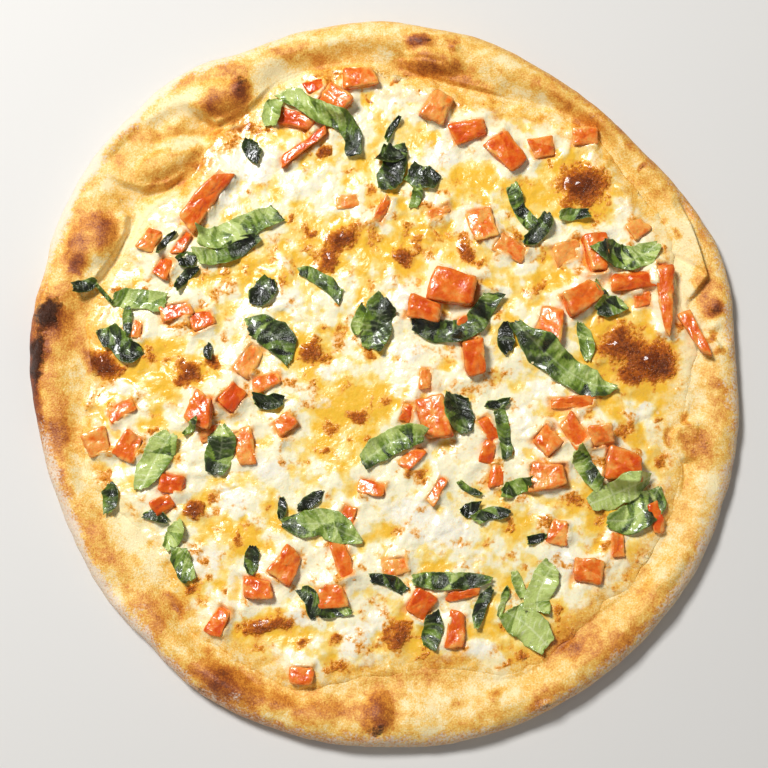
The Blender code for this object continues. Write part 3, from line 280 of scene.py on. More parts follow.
TOASTED = Stain(1.8, 201, (
    (323, 152, 8, 8, 0, 0.8), (343, 238, 18, 12, 30, 0.95), (330, 261, 9, 12, 0, 0.8),
    (404, 257, 13, 11, -20, 0.85), (310, 235, 7, 7, 0, 0.6), (293, 220, 4, 4, 0, 0.55),
    (467, 252, 11, 12, 0, 0.65), (515, 233, 6, 6, 0, 0.5), (370, 98, 5, 5, 0, 0.6),
    (395, 78, 6, 5, 0, 0.6), (370, 192, 7, 6, 0, 0.6), (583, 186, 27, 24, 20, 1.0),
    (553, 165, 4, 4, 0, 0.5), (541, 288, 6, 6, 0, 0.55), (563, 271, 4, 4, 0, 0.5),
    (103, 364, 18, 14, -30, 1.0), (150, 355, 9, 7, 0, 0.6), (190, 374, 15, 14, 0, 0.9),
    (213, 362, 7, 6, 0, 0.55), (63, 433, 7, 9, 0, 0.6), (150, 430, 7, 7, 0, 0.45),
    (311, 352, 12, 12, 0, 0.8), (325, 330, 6, 6, 0, 0.5), (333, 427, 12, 9, 0, 0.6),
    (360, 415, 9, 8, 0, 0.5), (385, 400, 7, 7, 0, 0.5), (323, 450, 6, 6, 0, 0.5),
    (365, 440, 6, 6, 0, 0.5), (371, 355, 5, 5, 0, 0.5), (420, 477, 11, 9, 0, 0.6),
    (465, 388, 4, 4, 0, 0.5), (622, 345, 22, 24, 0, 0.85), (652, 362, 27, 22, 15, 1.0),
    (628, 376, 12, 8, 0, 0.6), (660, 460, 8, 12, 0, 0.6), (657, 418, 5, 5, 0, 0.5),
    (678, 392, 4, 4, 0, 0.45), (620, 430, 9, 7, 0, 0.55), (196, 512, 13, 11, 5, 0.95),
    (217, 511, 5, 5, 0, 0.5), (215, 495, 9, 8, 0, 0.5), (238, 540, 7, 10, 0, 0.6),
    (205, 560, 5, 5, 0, 0.5), (210, 580, 6, 5, 0, 0.55), (188, 588, 7, 6, 0, 0.5),
    (223, 590, 6, 5, 0, 0.5), (264, 626, 28, 8, 8, 0.8), (303, 643, 7, 6, 0, 0.55),
    (338, 664, 14, 9, 0, 0.55), (335, 640, 6, 5, 0, 0.5), (398, 639, 13, 18, 0, 0.75),
    (425, 655, 6, 5, 0, 0.5), (523, 657, 8, 6, 0, 0.6), (544, 656, 6, 5, 0, 0.5),
    (505, 664, 12, 5, 0, 0.45), (608, 545, 6, 6, 0, 0.5), (245, 125, 26, 7, -12, 0.55),
    (230, 140, 12, 18, -30, 0.45), (395, 72, 60, 7, 0, 0.45), (120, 292, 20, 6, -10, 0.5),
    (440, 236, 20, 8, 0, 0.35), (170, 610, 18, 8, -50, 0.45), (640, 192, 10, 5, -50, 0.4),
    (676, 330, 6, 12, 0, 0.35), (610, 160, 10, 6, -45, 0.35), (88, 405, 10, 16, 0, 0.35),
    (95, 475, 12, 8, -20, 0.25), (480, 266, 8, 6, 0, 0.4), (600, 520, 12, 6, 20, 0.45),
    (640, 500, 9, 7, 0, 0.4), (575, 500, 16, 7, 0, 0.4), (548, 525, 14, 8, 10, 0.4),
    (648, 555, 10, 12, 20, 0.35), (600, 640, 20, 8, 20, 0.5), (550, 610, 12, 7, 0, 0.35),
    (575, 630, 14, 8, 20, 0.4),
))
GOLDEN = Stain(4.0, 203, (
    (400, 235, 110, 50, 0, 0.9), (480, 190, 50, 30, 0, 0.6), (350, 410, 60, 40, 0, 0.7),
    (215, 585, 50, 30, 0, 0.6), (600, 380, 80, 60, 0, 0.6), (250, 270, 40, 30, 0, 0.6),
    (150, 370, 70, 40, 0, 0.6), (290, 130, 50, 30, 0, 0.6), (250, 640, 60, 24, 10, 0.8),
    (560, 250, 70, 30, 0, 0.5), (530, 500, 40, 40, 0, 0.5), (440, 90, 70, 20, 0, 0.5),
    (640, 540, 20, 60, 0, 0.5), (560, 640, 60, 16, 0, 0.6), (95, 430, 24, 60, 0, 0.7),
    (400, 640, 50, 20, 0, 0.6), (620, 500, 60, 70, 0, 0.7), (500, 620, 70, 30, 0, 0.6),
    (300, 360, 50, 30, 0, 0.5), (520, 290, 50, 30, 0, 0.4),
))
OILY = Stain(3.0, 211, (
    (360, 398, 40, 22, 0, 0.9), (530, 520, 22, 14, 0, 0.6), (607, 415, 26, 12, 0, 0.6),
    (600, 345, 26, 26, 0, 0.7), (560, 275, 20, 16, 0, 0.6), (470, 185, 30, 22, 10, 0.9),
    (510, 200, 20, 14, 0, 0.6), (175, 70, 30, 10, 30, 0.3), (530, 300, 16, 18, 0, 0.6),
    (430, 228, 36, 16, 0, 0.7), (350, 462, 22, 16, 0, 0.6), (260, 262, 34, 20, 0, 0.6),
    (210, 322, 20, 16, 0, 0.5), (120, 282, 26, 12, 20, 0.7), (80, 330, 14, 24, 0, 0.7),
    (98, 400, 16, 26, 0, 0.6), (430, 560, 30, 20, 0, 0.4), (232, 575, 10, 30, 0, 0.4),
    (240, 660, 40, 14, -20, 0.4), (560, 640, 30, 20, 10, 0.6), (640, 600, 20, 20, 0, 0.4),
    (570, 160, 34, 22, -20, 0.5), (660, 385, 30, 14, 0, 0.5), (600, 400, 24, 10, 0, 0.5),
    (500, 340, 24, 20, 0, 0.5), (320, 700, 20, 8, 0, 0.3), (150, 390, 24, 20, 0, 0.4),
    (290, 340, 20, 20, 0, 0.4), (540, 190, 16, 12, 0, 0.5), (380, 140, 16, 10, 0, 0.4),
    (450, 290, 50, 40, 0, 0.3), (240, 170, 10, 30, 0, 0.4), (290, 600, 22, 14, 0, 0.4),
    (370, 540, 20, 12, 0, 0.3),
))
CURDS = Stain(2.2, 61, (
    (250, 165, 30, 26, -40, 0.9), (225, 195, 16, 20, 40, 0.8), (300, 190, 24, 16, 0, 0.6),
    (400, 100, 26, 12, 0, 0.45), (380, 85, 20, 10, 0, 0.6), (440, 155, 22, 16, 0, 0.8),
    (435, 180, 14, 10, 0, 0.5), (330, 180, 20, 12, 0, 0.5), (120, 385, 18, 12, 0, 0.7),
    (400, 300, 14, 24, 0, 0.8), (540, 385, 22, 14, 0, 0.7), (500, 290, 14, 12, 0, 0.6),
    (630, 205, 18, 12, -30, 0.7), (610, 235, 16, 10, 0, 0.6), (560, 230, 18, 12, 0, 0.6),
    (640, 575, 16, 16, 0, 0.8), (625, 600, 16, 12, 0, 0.7), (290, 300, 16, 16, 0, 0.6),
    (355, 640, 22, 20, 0, 0.8), (300, 620, 20, 12, 0, 0.7), (230, 500, 26, 20, 0, 0.8),
    (207, 562, 26, 24, 0, 0.75), (270, 470, 24, 16, 0, 0.7), (440, 530, 46, 26, 0, 0.8),
    (400, 510, 30, 16, 0, 0.7), (560, 560, 22, 18, 0, 0.7), (540, 510, 20, 12, 0, 0.5),
    (670, 490, 12, 20, 0, 0.7), (330, 370, 16, 10, 0, 0.6), (410, 350, 20, 16, 0, 0.7),
    (520, 420, 16, 24, 0, 0.6), (640, 410, 26, 10, 0, 0.6), (190, 450, 14, 20, 0, 0.6),
    (150, 330, 16, 14, 0, 0.4), (300, 540, 20, 10, 0, 0.5), (380, 620, 20, 12, 0, 0.6),
    (480, 650, 26, 12, 0, 0.7), (440, 690, 20, 6, 0, 0.3), (320, 400, 20, 12, 0, 0.5),
    (350, 220, 18, 8, 0, 0.4), (180, 180, 10, 16, 40, 0.4), (500, 180, 10, 10, 0, 0.4),
    (600, 600, 12, 20, 30, 0.5), (480, 560, 22, 12, 0, 0.5), (330, 520, 14, 8, 0, 0.4),
    (380, 60, 10, 4, 0, 0.2), (540, 130, 14, 8, 0, 0.3),
))
JUICY = Stain(3.0, 221, (
    (300, 120, 30, 16, -10, 0.8), (305, 155, 28, 10, 36, 0.8), (325, 215, 30, 12, 0, 0.5),
    (400, 205, 40, 12, 0, 0.6), (165, 250, 16, 26, 10, 0.7), (200, 315, 44, 20, 10, 0.8),
    (320, 305, 26, 20, 0, 0.5), (262, 378, 26, 24, 0, 0.6), (220, 405, 36, 22, 0, 0.9),
    (290, 425, 22, 14, 0, 0.5), (430, 410, 40, 26, 0, 0.8), (440, 300, 44, 26, 0, 0.7),
    (490, 450, 20, 34, 0, 0.8), (590, 275, 46, 34, 0, 0.6), (560, 420, 60, 34, 0, 0.6),
    (130, 425, 36, 24, 0, 0.5), (170, 490, 16, 20, 0, 0.7), (340, 560, 16, 24, 0, 0.7),
    (270, 575, 34, 20, 0, 0.7), (320, 590, 30, 20, 0, 0.6), (420, 600, 50, 20, 0, 0.6),
    (460, 630, 14, 20, 0, 0.6), (555, 530, 20, 20, 0, 0.5), (590, 560, 22, 16, 0, 0.4),
    (480, 225, 40, 20, 0, 0.6), (330, 90, 30, 12, 0, 0.6), (440, 490, 16, 24, 0, 0.6),
    (650, 525, 10, 16, 0, 0.6), (250, 445, 14, 20, 0, 0.5), (350, 500, 24, 20, 0, 0.5),
    (470, 120, 40, 22, -10, 0.4), (460, 345, 30, 20, 0, 0.5),
))

# Tomato dice: middle, length, width and height in mm, turn in degrees, how much the far end
# narrows (0 a block, 1 a point) and how pale the flesh is.
Dice = namedtuple("Dice", "name seen_at size turn narrowing paleness")
TOMATOES = [Dice("tomato_" + name, row[:2], row[2:5], *row[5:]) for name, *row in (
    ("top_seeded", 359, 78, 13, 10, 5, 8, 0.1, 0.6),
    ("top_block", 334, 102, 13, 12, 6, -32, 0.15, 0.5),
    ("top_slab", 297, 121, 15, 8, 4.5, -12, 0.3, 0.3),
    ("top_strip", 305, 147, 25, 5, 4.5, 38, 0.2, 0.35),
    ("upper_cube", 438, 106, 13, 12, 6, 62, 0.2, 0.7),
    ("upper_wedge", 468, 131, 15, 10, 5, 12, 0.3, 0.4),
    ("upper_round", 505, 151, 15, 11, 5, -48, 0.2, 0.35),
    ("left_strip", 207, 199, 28, 9, 6, 53, 0.1, 0.4),
    ("upper_tall", 483, 224, 15, 11, 5, -72, 0.1, 0.7),
    ("right_tall", 594, 256, 18, 10, 6, -82, 0.15, 0.45),
    ("right_ribbed", 580, 299, 16, 12, 5.5, 32, 0.25, 0.5),
    ("right_bar", 630, 283, 17, 8, 5, 8, 0.1, 0.35),
    ("right_wedge", 666, 299, 32, 10, 7, -90, 0.85, 0.45),
    ("right_sliver", 696, 335, 19, 7, 5, -65, 0.6, 0.5),
    ("right_round", 549, 325, 15, 12, 6, 76, 0.2, 0.55),
    ("centre_post", 472, 356, 15, 9, 5, -80, 0.15, 0.4),
    ("centre_block", 456, 290, 20, 15, 8, -12, 0.15, 0.35),
    ("centre_slab", 422, 311, 15, 10, 6, -12, 0.2, 0.4),
    ("middle_tall", 433, 419, 18, 13, 5.5, -72, 0.2, 0.45),
    ("right_cube", 547, 441, 12, 11, 5.5, -45, 0.1, 0.45),
    ("right_lean", 574, 431, 13, 9, 5, -55, 0.15, 0.5),
    ("right_slab", 549, 476, 17, 12, 5.5, 4, 0.1, 0.6),
    ("right_upper", 600, 438, 10, 9, 6, 10, 0.15, 0.6),
    ("right_big", 620, 466, 15, 14, 6, -8, 0.1, 0.35),
    ("left_dark", 232, 399, 12, 10, 5.5, 50, 0.15, 0.15),
    ("left_pair", 202, 410, 14, 11, 5.5, 75, 0.2, 0.4),
    ("bottom_wedge", 286, 565, 15, 11, 5.5, 58, 0.3, 0.45),
    ("bottom_dome", 257, 588, 12, 10, 5.5, 0, 0.2, 0.4),
)]
SMALL_TOMATOES = [Dice("", row[:2], row[2:5], *row[5:]) for row in (
    (585, 137, 11, 8, 4.5, 0, 0.1, 0.6), (543, 149, 10, 9, 4.5, 10, 0.1, 0.5),
    (637, 228, 8, 8, 4, 40, 0.0, 0.75), (565, 253, 11, 10, 3.5, 20, 0.1, 0.9),
    (642, 301, 7, 6, 3.5, 10, 0.1, 0.5), (383, 211, 13, 5, 4, 65, 0.3, 0.6),
    (439, 212, 11, 5, 3.5, 25, 0.2, 0.7), (511, 247, 14, 9, 4, -30, 0.2, 0.6),
    (346, 201, 10, 5, 3, 10, 0.1, 0.9), (316, 87, 8, 6, 4, 20, 0.1, 0.1),
    (425, 378, 9, 5, 4, 90, 0.1, 0.6), (463, 323, 7, 5, 4, 20, 0.1, 0.4),
    (407, 412, 9, 6, 4, 80, 0.1, 0.4), (413, 457, 12, 6, 4, 42, 0.2, 0.5),
    (571, 403, 20, 6, 3.5, 3, 0.3, 0.5), (488, 428, 12, 6, 4, -60, 0.2, 0.4),
    (489, 453, 9, 6, 4, 80, 0.1, 0.3), (495, 475, 11, 6, 4, 85, 0.1, 0.4),
    (285, 426, 10, 9, 4.5, 38, 0.1, 0.6), (268, 380, 12, 7, 4, 18, 0.3, 0.6),
    (249, 360, 15, 9, 3.5, 60, 0.2, 0.8), (245, 447, 15, 9, 4.5, -80, 0.3, 0.6),
    (208, 434, 7, 6, 4, 20, 0.1, 0.5), (373, 488, 11, 7, 4, -8, 0.2, 0.4),
    (437, 490, 12, 5, 4, 60, 0.2, 0.5), (96, 443, 11, 10, 4.5, 20, 0.1, 0.7),
    (130, 446, 12, 10, 4.5, 60, 0.1, 0.5), (122, 410, 13, 7, 4, 30, 0.2, 0.6),
    (172, 482, 10, 8, 4.5, -10, 0.1, 0.3), (163, 506, 8, 7, 4.5, 30, 0.1, 0.3),
    (174, 312, 14, 8, 4, 12, 0.2, 0.5), (202, 322, 11, 9, 4, 20, 0.2, 0.4),
    (138, 330, 7, 4, 3.5, 80, 0.1, 0.4), (151, 241, 10, 8, 4.5, 60, 0.2, 0.6),
    (165, 267, 10, 8, 4, 70, 0.2, 0.3), (183, 243, 11, 5, 4, 60, 0.2, 0.4),
    (221, 619, 12, 8, 4.5, 62, 0.2, 0.4), (303, 675, 9, 8, 4.5, 0, 0.0, 0.5),
    (332, 597, 12, 10, 4.5, 10, 0.1, 0.5), (343, 559, 16, 7, 4.5, -72, 0.1, 0.5),
    (557, 533, 10, 9, 4.5, 80, 0.1, 0.6), (618, 545, 10, 6, 4, 90, 0.1, 0.5),
    (588, 572, 14, 10, 5, -4, 0.1, 0.5), (655, 519, 12, 6, 4, -75, 0.2, 0.4),
    (420, 604, 12, 11, 4.5, 60, 0.1, 0.25), (462, 593, 14, 5, 3.5, 8, 0.1, 0.3),
    (457, 631, 15, 8, 4, 80, 0.2, 0.4), (395, 566, 11, 9, 3.5, 10, 0.2, 0.8),
    (347, 517, 10, 8, 3.5, 70, 0.2, 0.3),
)]

# Basil: the middle line as seen, width in mm, share of the width at the two ends, how far the
# edges curl up and the tilt to one side in degrees, and how pale the leaf is at the start's
# left and right and at the end's left and right.
Leaf = namedtuple("Leaf", "name seen_along width ends curl tilt paleness")
BASIL = (
    Leaf("basil_top_ribbon", ((283, 91), (302, 101), (322, 115), (342, 122), (352, 136), (354, 155)),
         9.0, (0.9, 0.8), 22, 0, (0.95, 0.75, 0.15, 0.05)),
    Leaf("basil_top_fold", ((276, 99), (273, 112), (271, 125)),
         9.5, (0.85, 0.6), 45, 0, (0.9, 0.95, 0.6, 0.8)),
    Leaf("basil_top_leaf", ((398, 148), (393, 167), (386, 189)),
         11.5, (0.8, 0.7), 25, 4, (0.25, 0.1, 0.15, 0.3)),
    Leaf("basil_top_triangle", ((409, 170), (424, 177), (441, 176)),
         10.5, (1.0, 0.12), 18, 0, (0.2, 0.3, 0.15, 0.15)),
    Leaf("basil_left_ribbon", ((197, 234), (215, 237), (236, 229), (257, 221), (278, 212)),
         10.0, (0.7, 1.0), 20, 0, (0.95, 0.8, 0.55, 0.35)),
    Leaf("basil_left_underfold", ((196, 256), (214, 256), (236, 248), (258, 236)),
         8.5, (0.9, 0.5), 30, -5, (0.8, 0.7, 0.1, 0.25)),
    Leaf("basil_far_left_ribbon", ((113, 298), (128, 298), (147, 300), (166, 302)),
         9.0, (0.6, 0.95), 22, 0, (0.6, 0.75, 0.7, 0.85)),
    Leaf("basil_far_left_leaf", ((98, 330), (113, 337), (128, 350), (142, 349)),
         11.0, (0.2, 0.4), 28, 5, (0.6, 0.15, 0.3, 0.05)),
    Leaf("basil_left_pair", ((270, 277), (263, 291), (255, 304)),
         11.0, (0.5, 0.5), 32, 0, (0.1, 0.2, 0.25, 0.05)),
    Leaf("basil_centre_ribbon", ((298, 270), (312, 273), (327, 283), (341, 297)),
         6.5, (0.6, 1.0), 20, 0, (0.8, 0.5, 0.25, 0.1)),
    Leaf("basil_centre_leaf", ((386, 298), (378, 322), (371, 348)),
         14.0, (0.7, 0.7), 24, -4, (0.15, 0.45, 0.05, 0.35)),
    Leaf("basil_left_leaf", ((247, 326), (265, 330), (281, 342), (289, 362)),
         13.0, (0.6, 0.3), 18, 0, (0.45, 0.4, 0.2, 0.1)),
    Leaf("basil_left_curl", ((254, 399), (268, 402), (283, 401)),
         8.0, (0.8, 0.6), 60, 0, (0.1, 0.0, 0.05, 0.1)),
    Leaf("basil_under_tomato", ((412, 324), (432, 330), (455, 332), (474, 324), (485, 308), (494, 293)),
         9.5, (0.6, 0.9), 12, 0, (0.2, 0.15, 0.35, 0.1)),
    Leaf("basil_upper_right_leaf", ((512, 184), (516, 198), (523, 213), (534, 226)),
         7.0, (0.9, 0.8), 28, 0, (0.4, 0.6, 0.1, 0.15)),
    Leaf("basil_upper_right_curl", ((547, 212), (545, 224), (535, 236), (524, 241)),
         8.0, (0.5, 0.5), 55, 0, (0.15, 0.4, 0.05, 0.3)),
    Leaf("basil_right_leaf", ((601, 243), (620, 257), (640, 256), (659, 243)),
         11.5, (0.9, 0.2), 16, 0, (0.3, 0.2, 0.95, 0.8)),
    Leaf("basil_long_leaf", ((514, 322), (538, 346), (567, 370), (592, 384), (617, 387)),
         14.0, (0.3, 0.1), 14, 0, (0.3, 0.1, 0.85, 0.35)),
    Leaf("basil_middle_leaf", ((453, 393), (459, 411), (467, 432)),
         12.5, (0.5, 0.5), 28, 0, (0.15, 0.45, 0.1, 0.25)),
    Leaf("basil_middle_roll", ((425, 436), (403, 438), (385, 446), (362, 462)),
         13.0, (0.4, 0.6), 34, 0, (0.05, 0.8, 0.2, 0.75)),
    Leaf("basil_middle_strip", ((499, 408), (502, 422), (506, 440), (507, 458)),
         5.5, (0.9, 0.7), 20, 0, (0.5, 0.35, 0.15, 0.3)),
    Leaf("basil_lower_leaf", ((281, 523), (303, 524), (326, 524), (345, 533), (362, 542)),
         12.0, (0.3, 0.1), 14, 0, (0.35, 0.3, 0.95, 0.7)),
    Leaf("basil_cluster_fan", ((502, 492), (515, 488), (530, 484)),
         7.0, (0.6, 0.8), 30, 0, (0.5, 0.3, 0.55, 0.35)),
    Leaf("basil_right_strip", ((576, 450), (586, 468), (599, 489)),
         8.0, (0.8, 0.5), 26, 0, (0.35, 0.8, 0.15, 0.7)),
    Leaf("basil_right_half_pale", ((590, 505), (617, 493), (650, 478)),
         12.0, (0.5, 0.3), 14, 4, (0.95, 0.7, 0.95, 0.85)),
    Leaf("basil_right_half_dark", ((608, 521), (632, 519), (650, 503), (660, 487)),
         14.0, (0.4, 0.1), 16, 0, (0.55, 0.3, 0.6, 0.45)),
    Leaf("basil_lower_left_big", ((171, 433), (160, 450), (151, 468), (141, 489)),
         12.5, (0.6, 0.4), 18, 0, (0.35, 0.8, 0.7, 0.8)),
    Leaf("basil_lower_left_tall", ((222, 425), (221, 448), (214, 474)),
         12.0, (0.2, 0.7), 20, 0, (0.7, 0.55, 0.4, 0.1)),
    Leaf("basil_bottom_right_ribbon", ((553, 565), (545, 580), (538, 597), (537, 612)),
         12.0, (0.7, 0.9), 16, 0, (0.7, 0.9, 0.75, 0.85)),
    Leaf("basil_bottom_right_leaf", ((506, 612), (526, 624), (548, 646)),
         15.0, (0.5, 0.6), 14, 0, (0.8, 0.75, 0.95, 0.7)),
)

# Scraps of basil: middle, length and width in mm, turn in degrees, paleness at the two ends.
SCRAPS = (
    (254, 148, 10, 8, -60, 0.2, 0.05), (393, 128, 12, 3.5, 60, 0.5, 0.2), (393, 150, 12, 9, 10, 0.1, 0.2),
    (415, 196, 10, 5, 80, 0.6, 0.7), (186, 258, 8, 7, 20, 0.05, 0.4), (187, 278, 13, 4.5, 42, 0.2, 0.1),
    (167, 243, 12, 3.5, 52, 0.3, 0.1), (360, 320, 13, 6, 75, 0.7, 0.6), (575, 214, 13, 6, 5, 0.6, 0.1),
    (611, 307, 13, 9, 12, 0.2, 0.6), (601, 288, 8, 2.5, -50, 0.6, 0.5), (127, 321, 13, 4.5, 90, 0.4, 0.4),
    (209, 351, 7, 4.5, 90, 0.1, 0.1), (191, 426, 9, 3.5, 45, 0.6, 0.6), (584, 341, 17, 7, -80, 0.8, 0.7),
    (508, 337, 13, 8, -88, 0.1, 0.2), (498, 402, 10, 4.5, 8, 0.4, 0.2),
    (470, 488, 11, 3.5, -30, 0.6, 0.5), (470, 509, 8, 7, 10, 0.1, 0.1), (492, 517, 15, 6, 10, 0.5, 0.1),
    (281, 508, 9, 4, 88, 0.1, 0.1), (310, 499, 13, 5.5, 35, 0.1, 0.05), (251, 560, 12, 7, 85, 0.3, 0.1),
    (308, 603, 14, 7, -65, 0.3, 0.15), (335, 613, 14, 7, 5, 0.4, 0.5), (388, 585, 16, 6, -20, 0.2, 0.1),
    (452, 580, 34, 8, 0, 0.6, 0.45), (484, 608, 18, 6, 68, 0.5, 0.1), (503, 601, 13, 3.5, 72, 0.7, 0.7),
    (431, 631, 15, 9, 86, 0.5, 0.2), (537, 538, 8, 5, 15, 0.2, 0.2), (519, 585, 12, 5, -72, 0.8, 0.8),
    (155, 518, 11, 5, -15, 0.5, 0.4), (171, 534, 13, 8, 68, 0.7, 0.8), (184, 564, 15, 9, -72, 0.75, 0.4),
    (108, 498, 13, 7, 88, 0.5, 0.45), (85, 285, 10, 6, 15, 0.4, 0.3), (104, 293, 10, 2, -48, 0.3, 0.3),
)


# ------------------------------------------------------------------ places and curves
def place(seen_at, height):
    """The point in metres that is seen at a pixel, at a height over the resting surface."""
    across = seen_at[0] - PICTURE_MIDDLE
    down = seen_at[1] - PICTURE_MIDDLE
    sine, cosine = math.sin(VIEW_TILT), math.cos(VIEW_TILT)
    scale = (VIEW_DISTANCE * cosine - height) / (LENS_PIXELS * cosine + down * sine)
    x = scale * across
    y = scale * (LENS_PIXELS * sine - down * cosine) - VIEW_DISTANCE * sine
    return np.array([x, y])


MIDDLE = place(PIZZA_MIDDLE_SEEN, 0.0)
PIXEL = PIZZA_WIDTH / PIZZA_WIDTH_SEEN


def placed(seen_at, height=SPOT_HEIGHT):
    """The same point, measured from the pizza's middle."""
    return place(seen_at, height) - MIDDLE


def cubic(start, end, start_slope, end_slope, part):
    """The cubic curve between two values with a slope at each, at a part from 0 to 1."""
    return (start * (1 + 2 * part) * (1 - part) ** 2 + end * part ** 2 * (3 - 2 * part)
            + start_slope * part * (1 - part) ** 2 - end_slope * part ** 2 * (1 - part))


def through(values, at):
    """A smooth curve through values at 0, 1, 2..., read at the numbers in `at`."""
    values = np.asarray(values, float)
    slopes = np.gradient(values, axis=0)
    first = np.clip(np.floor(at).astype(int), 0, len(values) - 2)
    part = (at - first)[:, None]
    return cubic(values[first], values[first + 1], slopes[first], slopes[first + 1], part)


def around(angle, knots, values):
    """A smooth closed curve of a value by angle, through the values at the knots."""
    order = np.argsort(knots)
    knots, values = np.asarray(knots)[order], np.asarray(values, float)[order]
    turn = 2 * math.pi
    knots = np.concatenate([knots[-2:] - turn, knots, knots[:2] + turn])
    values = np.concatenate([values[-2:], values, values[:2]])
    slopes = np.gradient(values, knots)
    angle = np.mod(angle - knots[2], turn) + knots[2]
    first = np.clip(np.searchsorted(knots, angle, side="right") - 1, 0, len(knots) - 2)
    step = knots[first + 1] - knots[first]
    return cubic(values[first], values[first + 1], slopes[first] * step,
                 slopes[first + 1] * step, (angle - knots[first]) / step)


def polar(points_seen, height):
    """Angle and radius of each point of a closed line, about the pizza's middle."""
    points = np.array([placed(seen_at, height) for seen_at in points_seen])
    return np.arctan2(points[:, 1], points[:, 0]), np.hypot(points[:, 0], points[:, 1])


OUTLINE_ANGLES, OUTLINE_RADII = polar(OUTLINE_SEEN, WIDEST_HEIGHT)
EDGE_ANGLES, EDGE_RADII = polar(CHEESE_EDGE_SEEN, EDGE_HEIGHT)
CREST_ANGLES = np.radians([degrees for degrees, _ in CREST])
CREST_HEIGHTS = np.array([height * MM for _, height in CREST])


def outline_radius(angle):
    """The radius of the smooth closed curve through the outline's points."""
    return around(angle, OUTLINE_ANGLES, OUTLINE_RADII)


def rim_width(angle):
    """How far inside the outline the cheese ends."""
    return outline_radius(angle) - around(angle, EDGE_ANGLES, EDGE_RADII)


def flank_width(angle):
    """How far in the outer side rounds over: at most half of the rim."""
    return np.minimum(FLANK_WIDTH, 0.5 * rim_width(angle))


def ease(share):
    """Falls from 1 to 0 as a share goes from 0 to 1, level at both ends."""
    return 0.5 + 0.5 * np.cos(math.pi * np.clip(share, 0.0, 1.0))


def cells_at(x, y, cell):
    """The column and row of the square cell that each point is in, and its place in it."""
    x, y = np.asarray(x) / cell + GRID / 2, np.asarray(y) / cell + GRID / 2
    column, row = np.floor(x).astype(int), np.floor(y).astype(int)
    return column, row, x - column, y - row


def corners_of(values, column, row):
    """A repeating table's values at the four corners of cells: row by row."""
    column, row, beside, above = (at % GRID for at in (column, row, column + 1, row + 1))
    return values[row, column], values[row, beside], values[above, column], values[above, beside]


def noise(x, y, cell, seed):
    """Smooth noise from -1 to 1: random values at the corners of square cells, eased between."""
    values = np.random.default_rng(seed).uniform(-1.0, 1.0, (GRID, GRID))
    column, row, right, up = cells_at(x, y, cell)
    near, beside, above, far = corners_of(values, column, row)
    right, up = (part * part * (3 - 2 * part) for part in (right, up))
    low = near * (1 - right) + beside * right
    high = above * (1 - right) + far * right
    return low * (1 - up) + high * up


def layered_noise(x, y, cell, seed, layers=3):
    """Noise at ever finer cells, each half as strong: rough detail on a soft form."""
    total = np.zeros_like(x)
    for layer in range(layers):
        total = total + 0.5 ** layer * noise(x, y, cell * 0.5 ** layer, seed + layer)
        x, y = 0.8 * x - 0.6 * y, 0.6 * x + 0.8 * y
    return total


def heaps(x, y, cell, seed):
    """Round heaps of random size and place, one for each square cell: the tallest heap at
    each point, from 0 between heaps to 1 on the largest. Noise makes their feet wander."""
    rng = np.random.default_rng(seed)
    aside, tall = rng.uniform(0.1, 0.9, (2, GRID, GRID)), rng.uniform(0.1, 1.0, (GRID, GRID))
    wander_x, wander_y = (0.5 * cell * layered_noise(x, y, 0.9 * cell, seed + shift, 2)
                          for shift in (1, 2))
    column, row, right, up = cells_at(x + wander_x, y + wander_y, cell)
    tallest = np.zeros_like(right)
    for step_x in (-1, 0, 1):
        for step_y in (-1, 0, 1):
            at = (row + step_y) % GRID, (column + step_x) % GRID
            gap = np.hypot(step_x + aside[0][at] - right, step_y + aside[1][at] - up)
            share = np.clip(gap / (0.55 + 0.35 * tall[at]), 0.0, 1.0)
            tallest = np.maximum(tallest, tall[at] * (1 - share ** 2) ** 0.8)
    return tallest


def facets(x, y, cell, seed):
    """Flat triangles between random heights at the corners of square cells, so that sharp
    folds run between them. Also returns one random tone for each triangle."""
    rng = np.random.default_rng(seed)
    heights, tones = rng.uniform(-1, 1, (GRID, GRID)), rng.uniform(-1, 1, (2, GRID, GRID))
    column, row, right, up = cells_at(x, y, cell)
    near, beside, above, far = corners_of(heights, column, row)
    beyond = right + up > 1
    height = np.where(beyond, far + (1 - right) * (above - far) + (1 - up) * (beside - far),
                      near + right * (beside - near) + up * (above - near))
    return height, tones[beyond.astype(int), row % GRID, column % GRID]


def softer_max(one, other, blend):
    """The larger of two heights, with a rounded change from one to the other."""
    share = np.clip(0.5 + 0.5 * (one - other) / blend, 0.0, 1.0)
    return other + (one - other) * share + blend * share * (1 - share)


def turned(x, y, seen_at, degrees):
    """How far a point is along and across a turned piece, from the piece's middle."""
    middle, turn = placed(seen_at), math.radians(degrees)
    x, y = x - middle[0], y - middle[1]
    return x * math.cos(turn) + y * math.sin(turn), y * math.cos(turn) - x * math.sin(turn)


def from_oval(x, y, oval, unit):
    """How far a point is from an oval's middle, as a share of its reach in that direction, at
    most 1. The unit is that of the oval's sizes."""
    seen_x, seen_y, long, wide, degrees = oval
    along, across = turned(x, y, (seen_x, seen_y), degrees)
    return np.clip(np.hypot(along / (long * unit), across / (wide * unit)), 0.0, 1.0)


def risen(x, y, blisters):
    """The height that a group of blisters adds: a round swell with a soft foot for each."""
    return sum(rise * MM * (1 - from_oval(x, y, oval, MM) ** 2) ** 2 for *oval, rise in blisters)


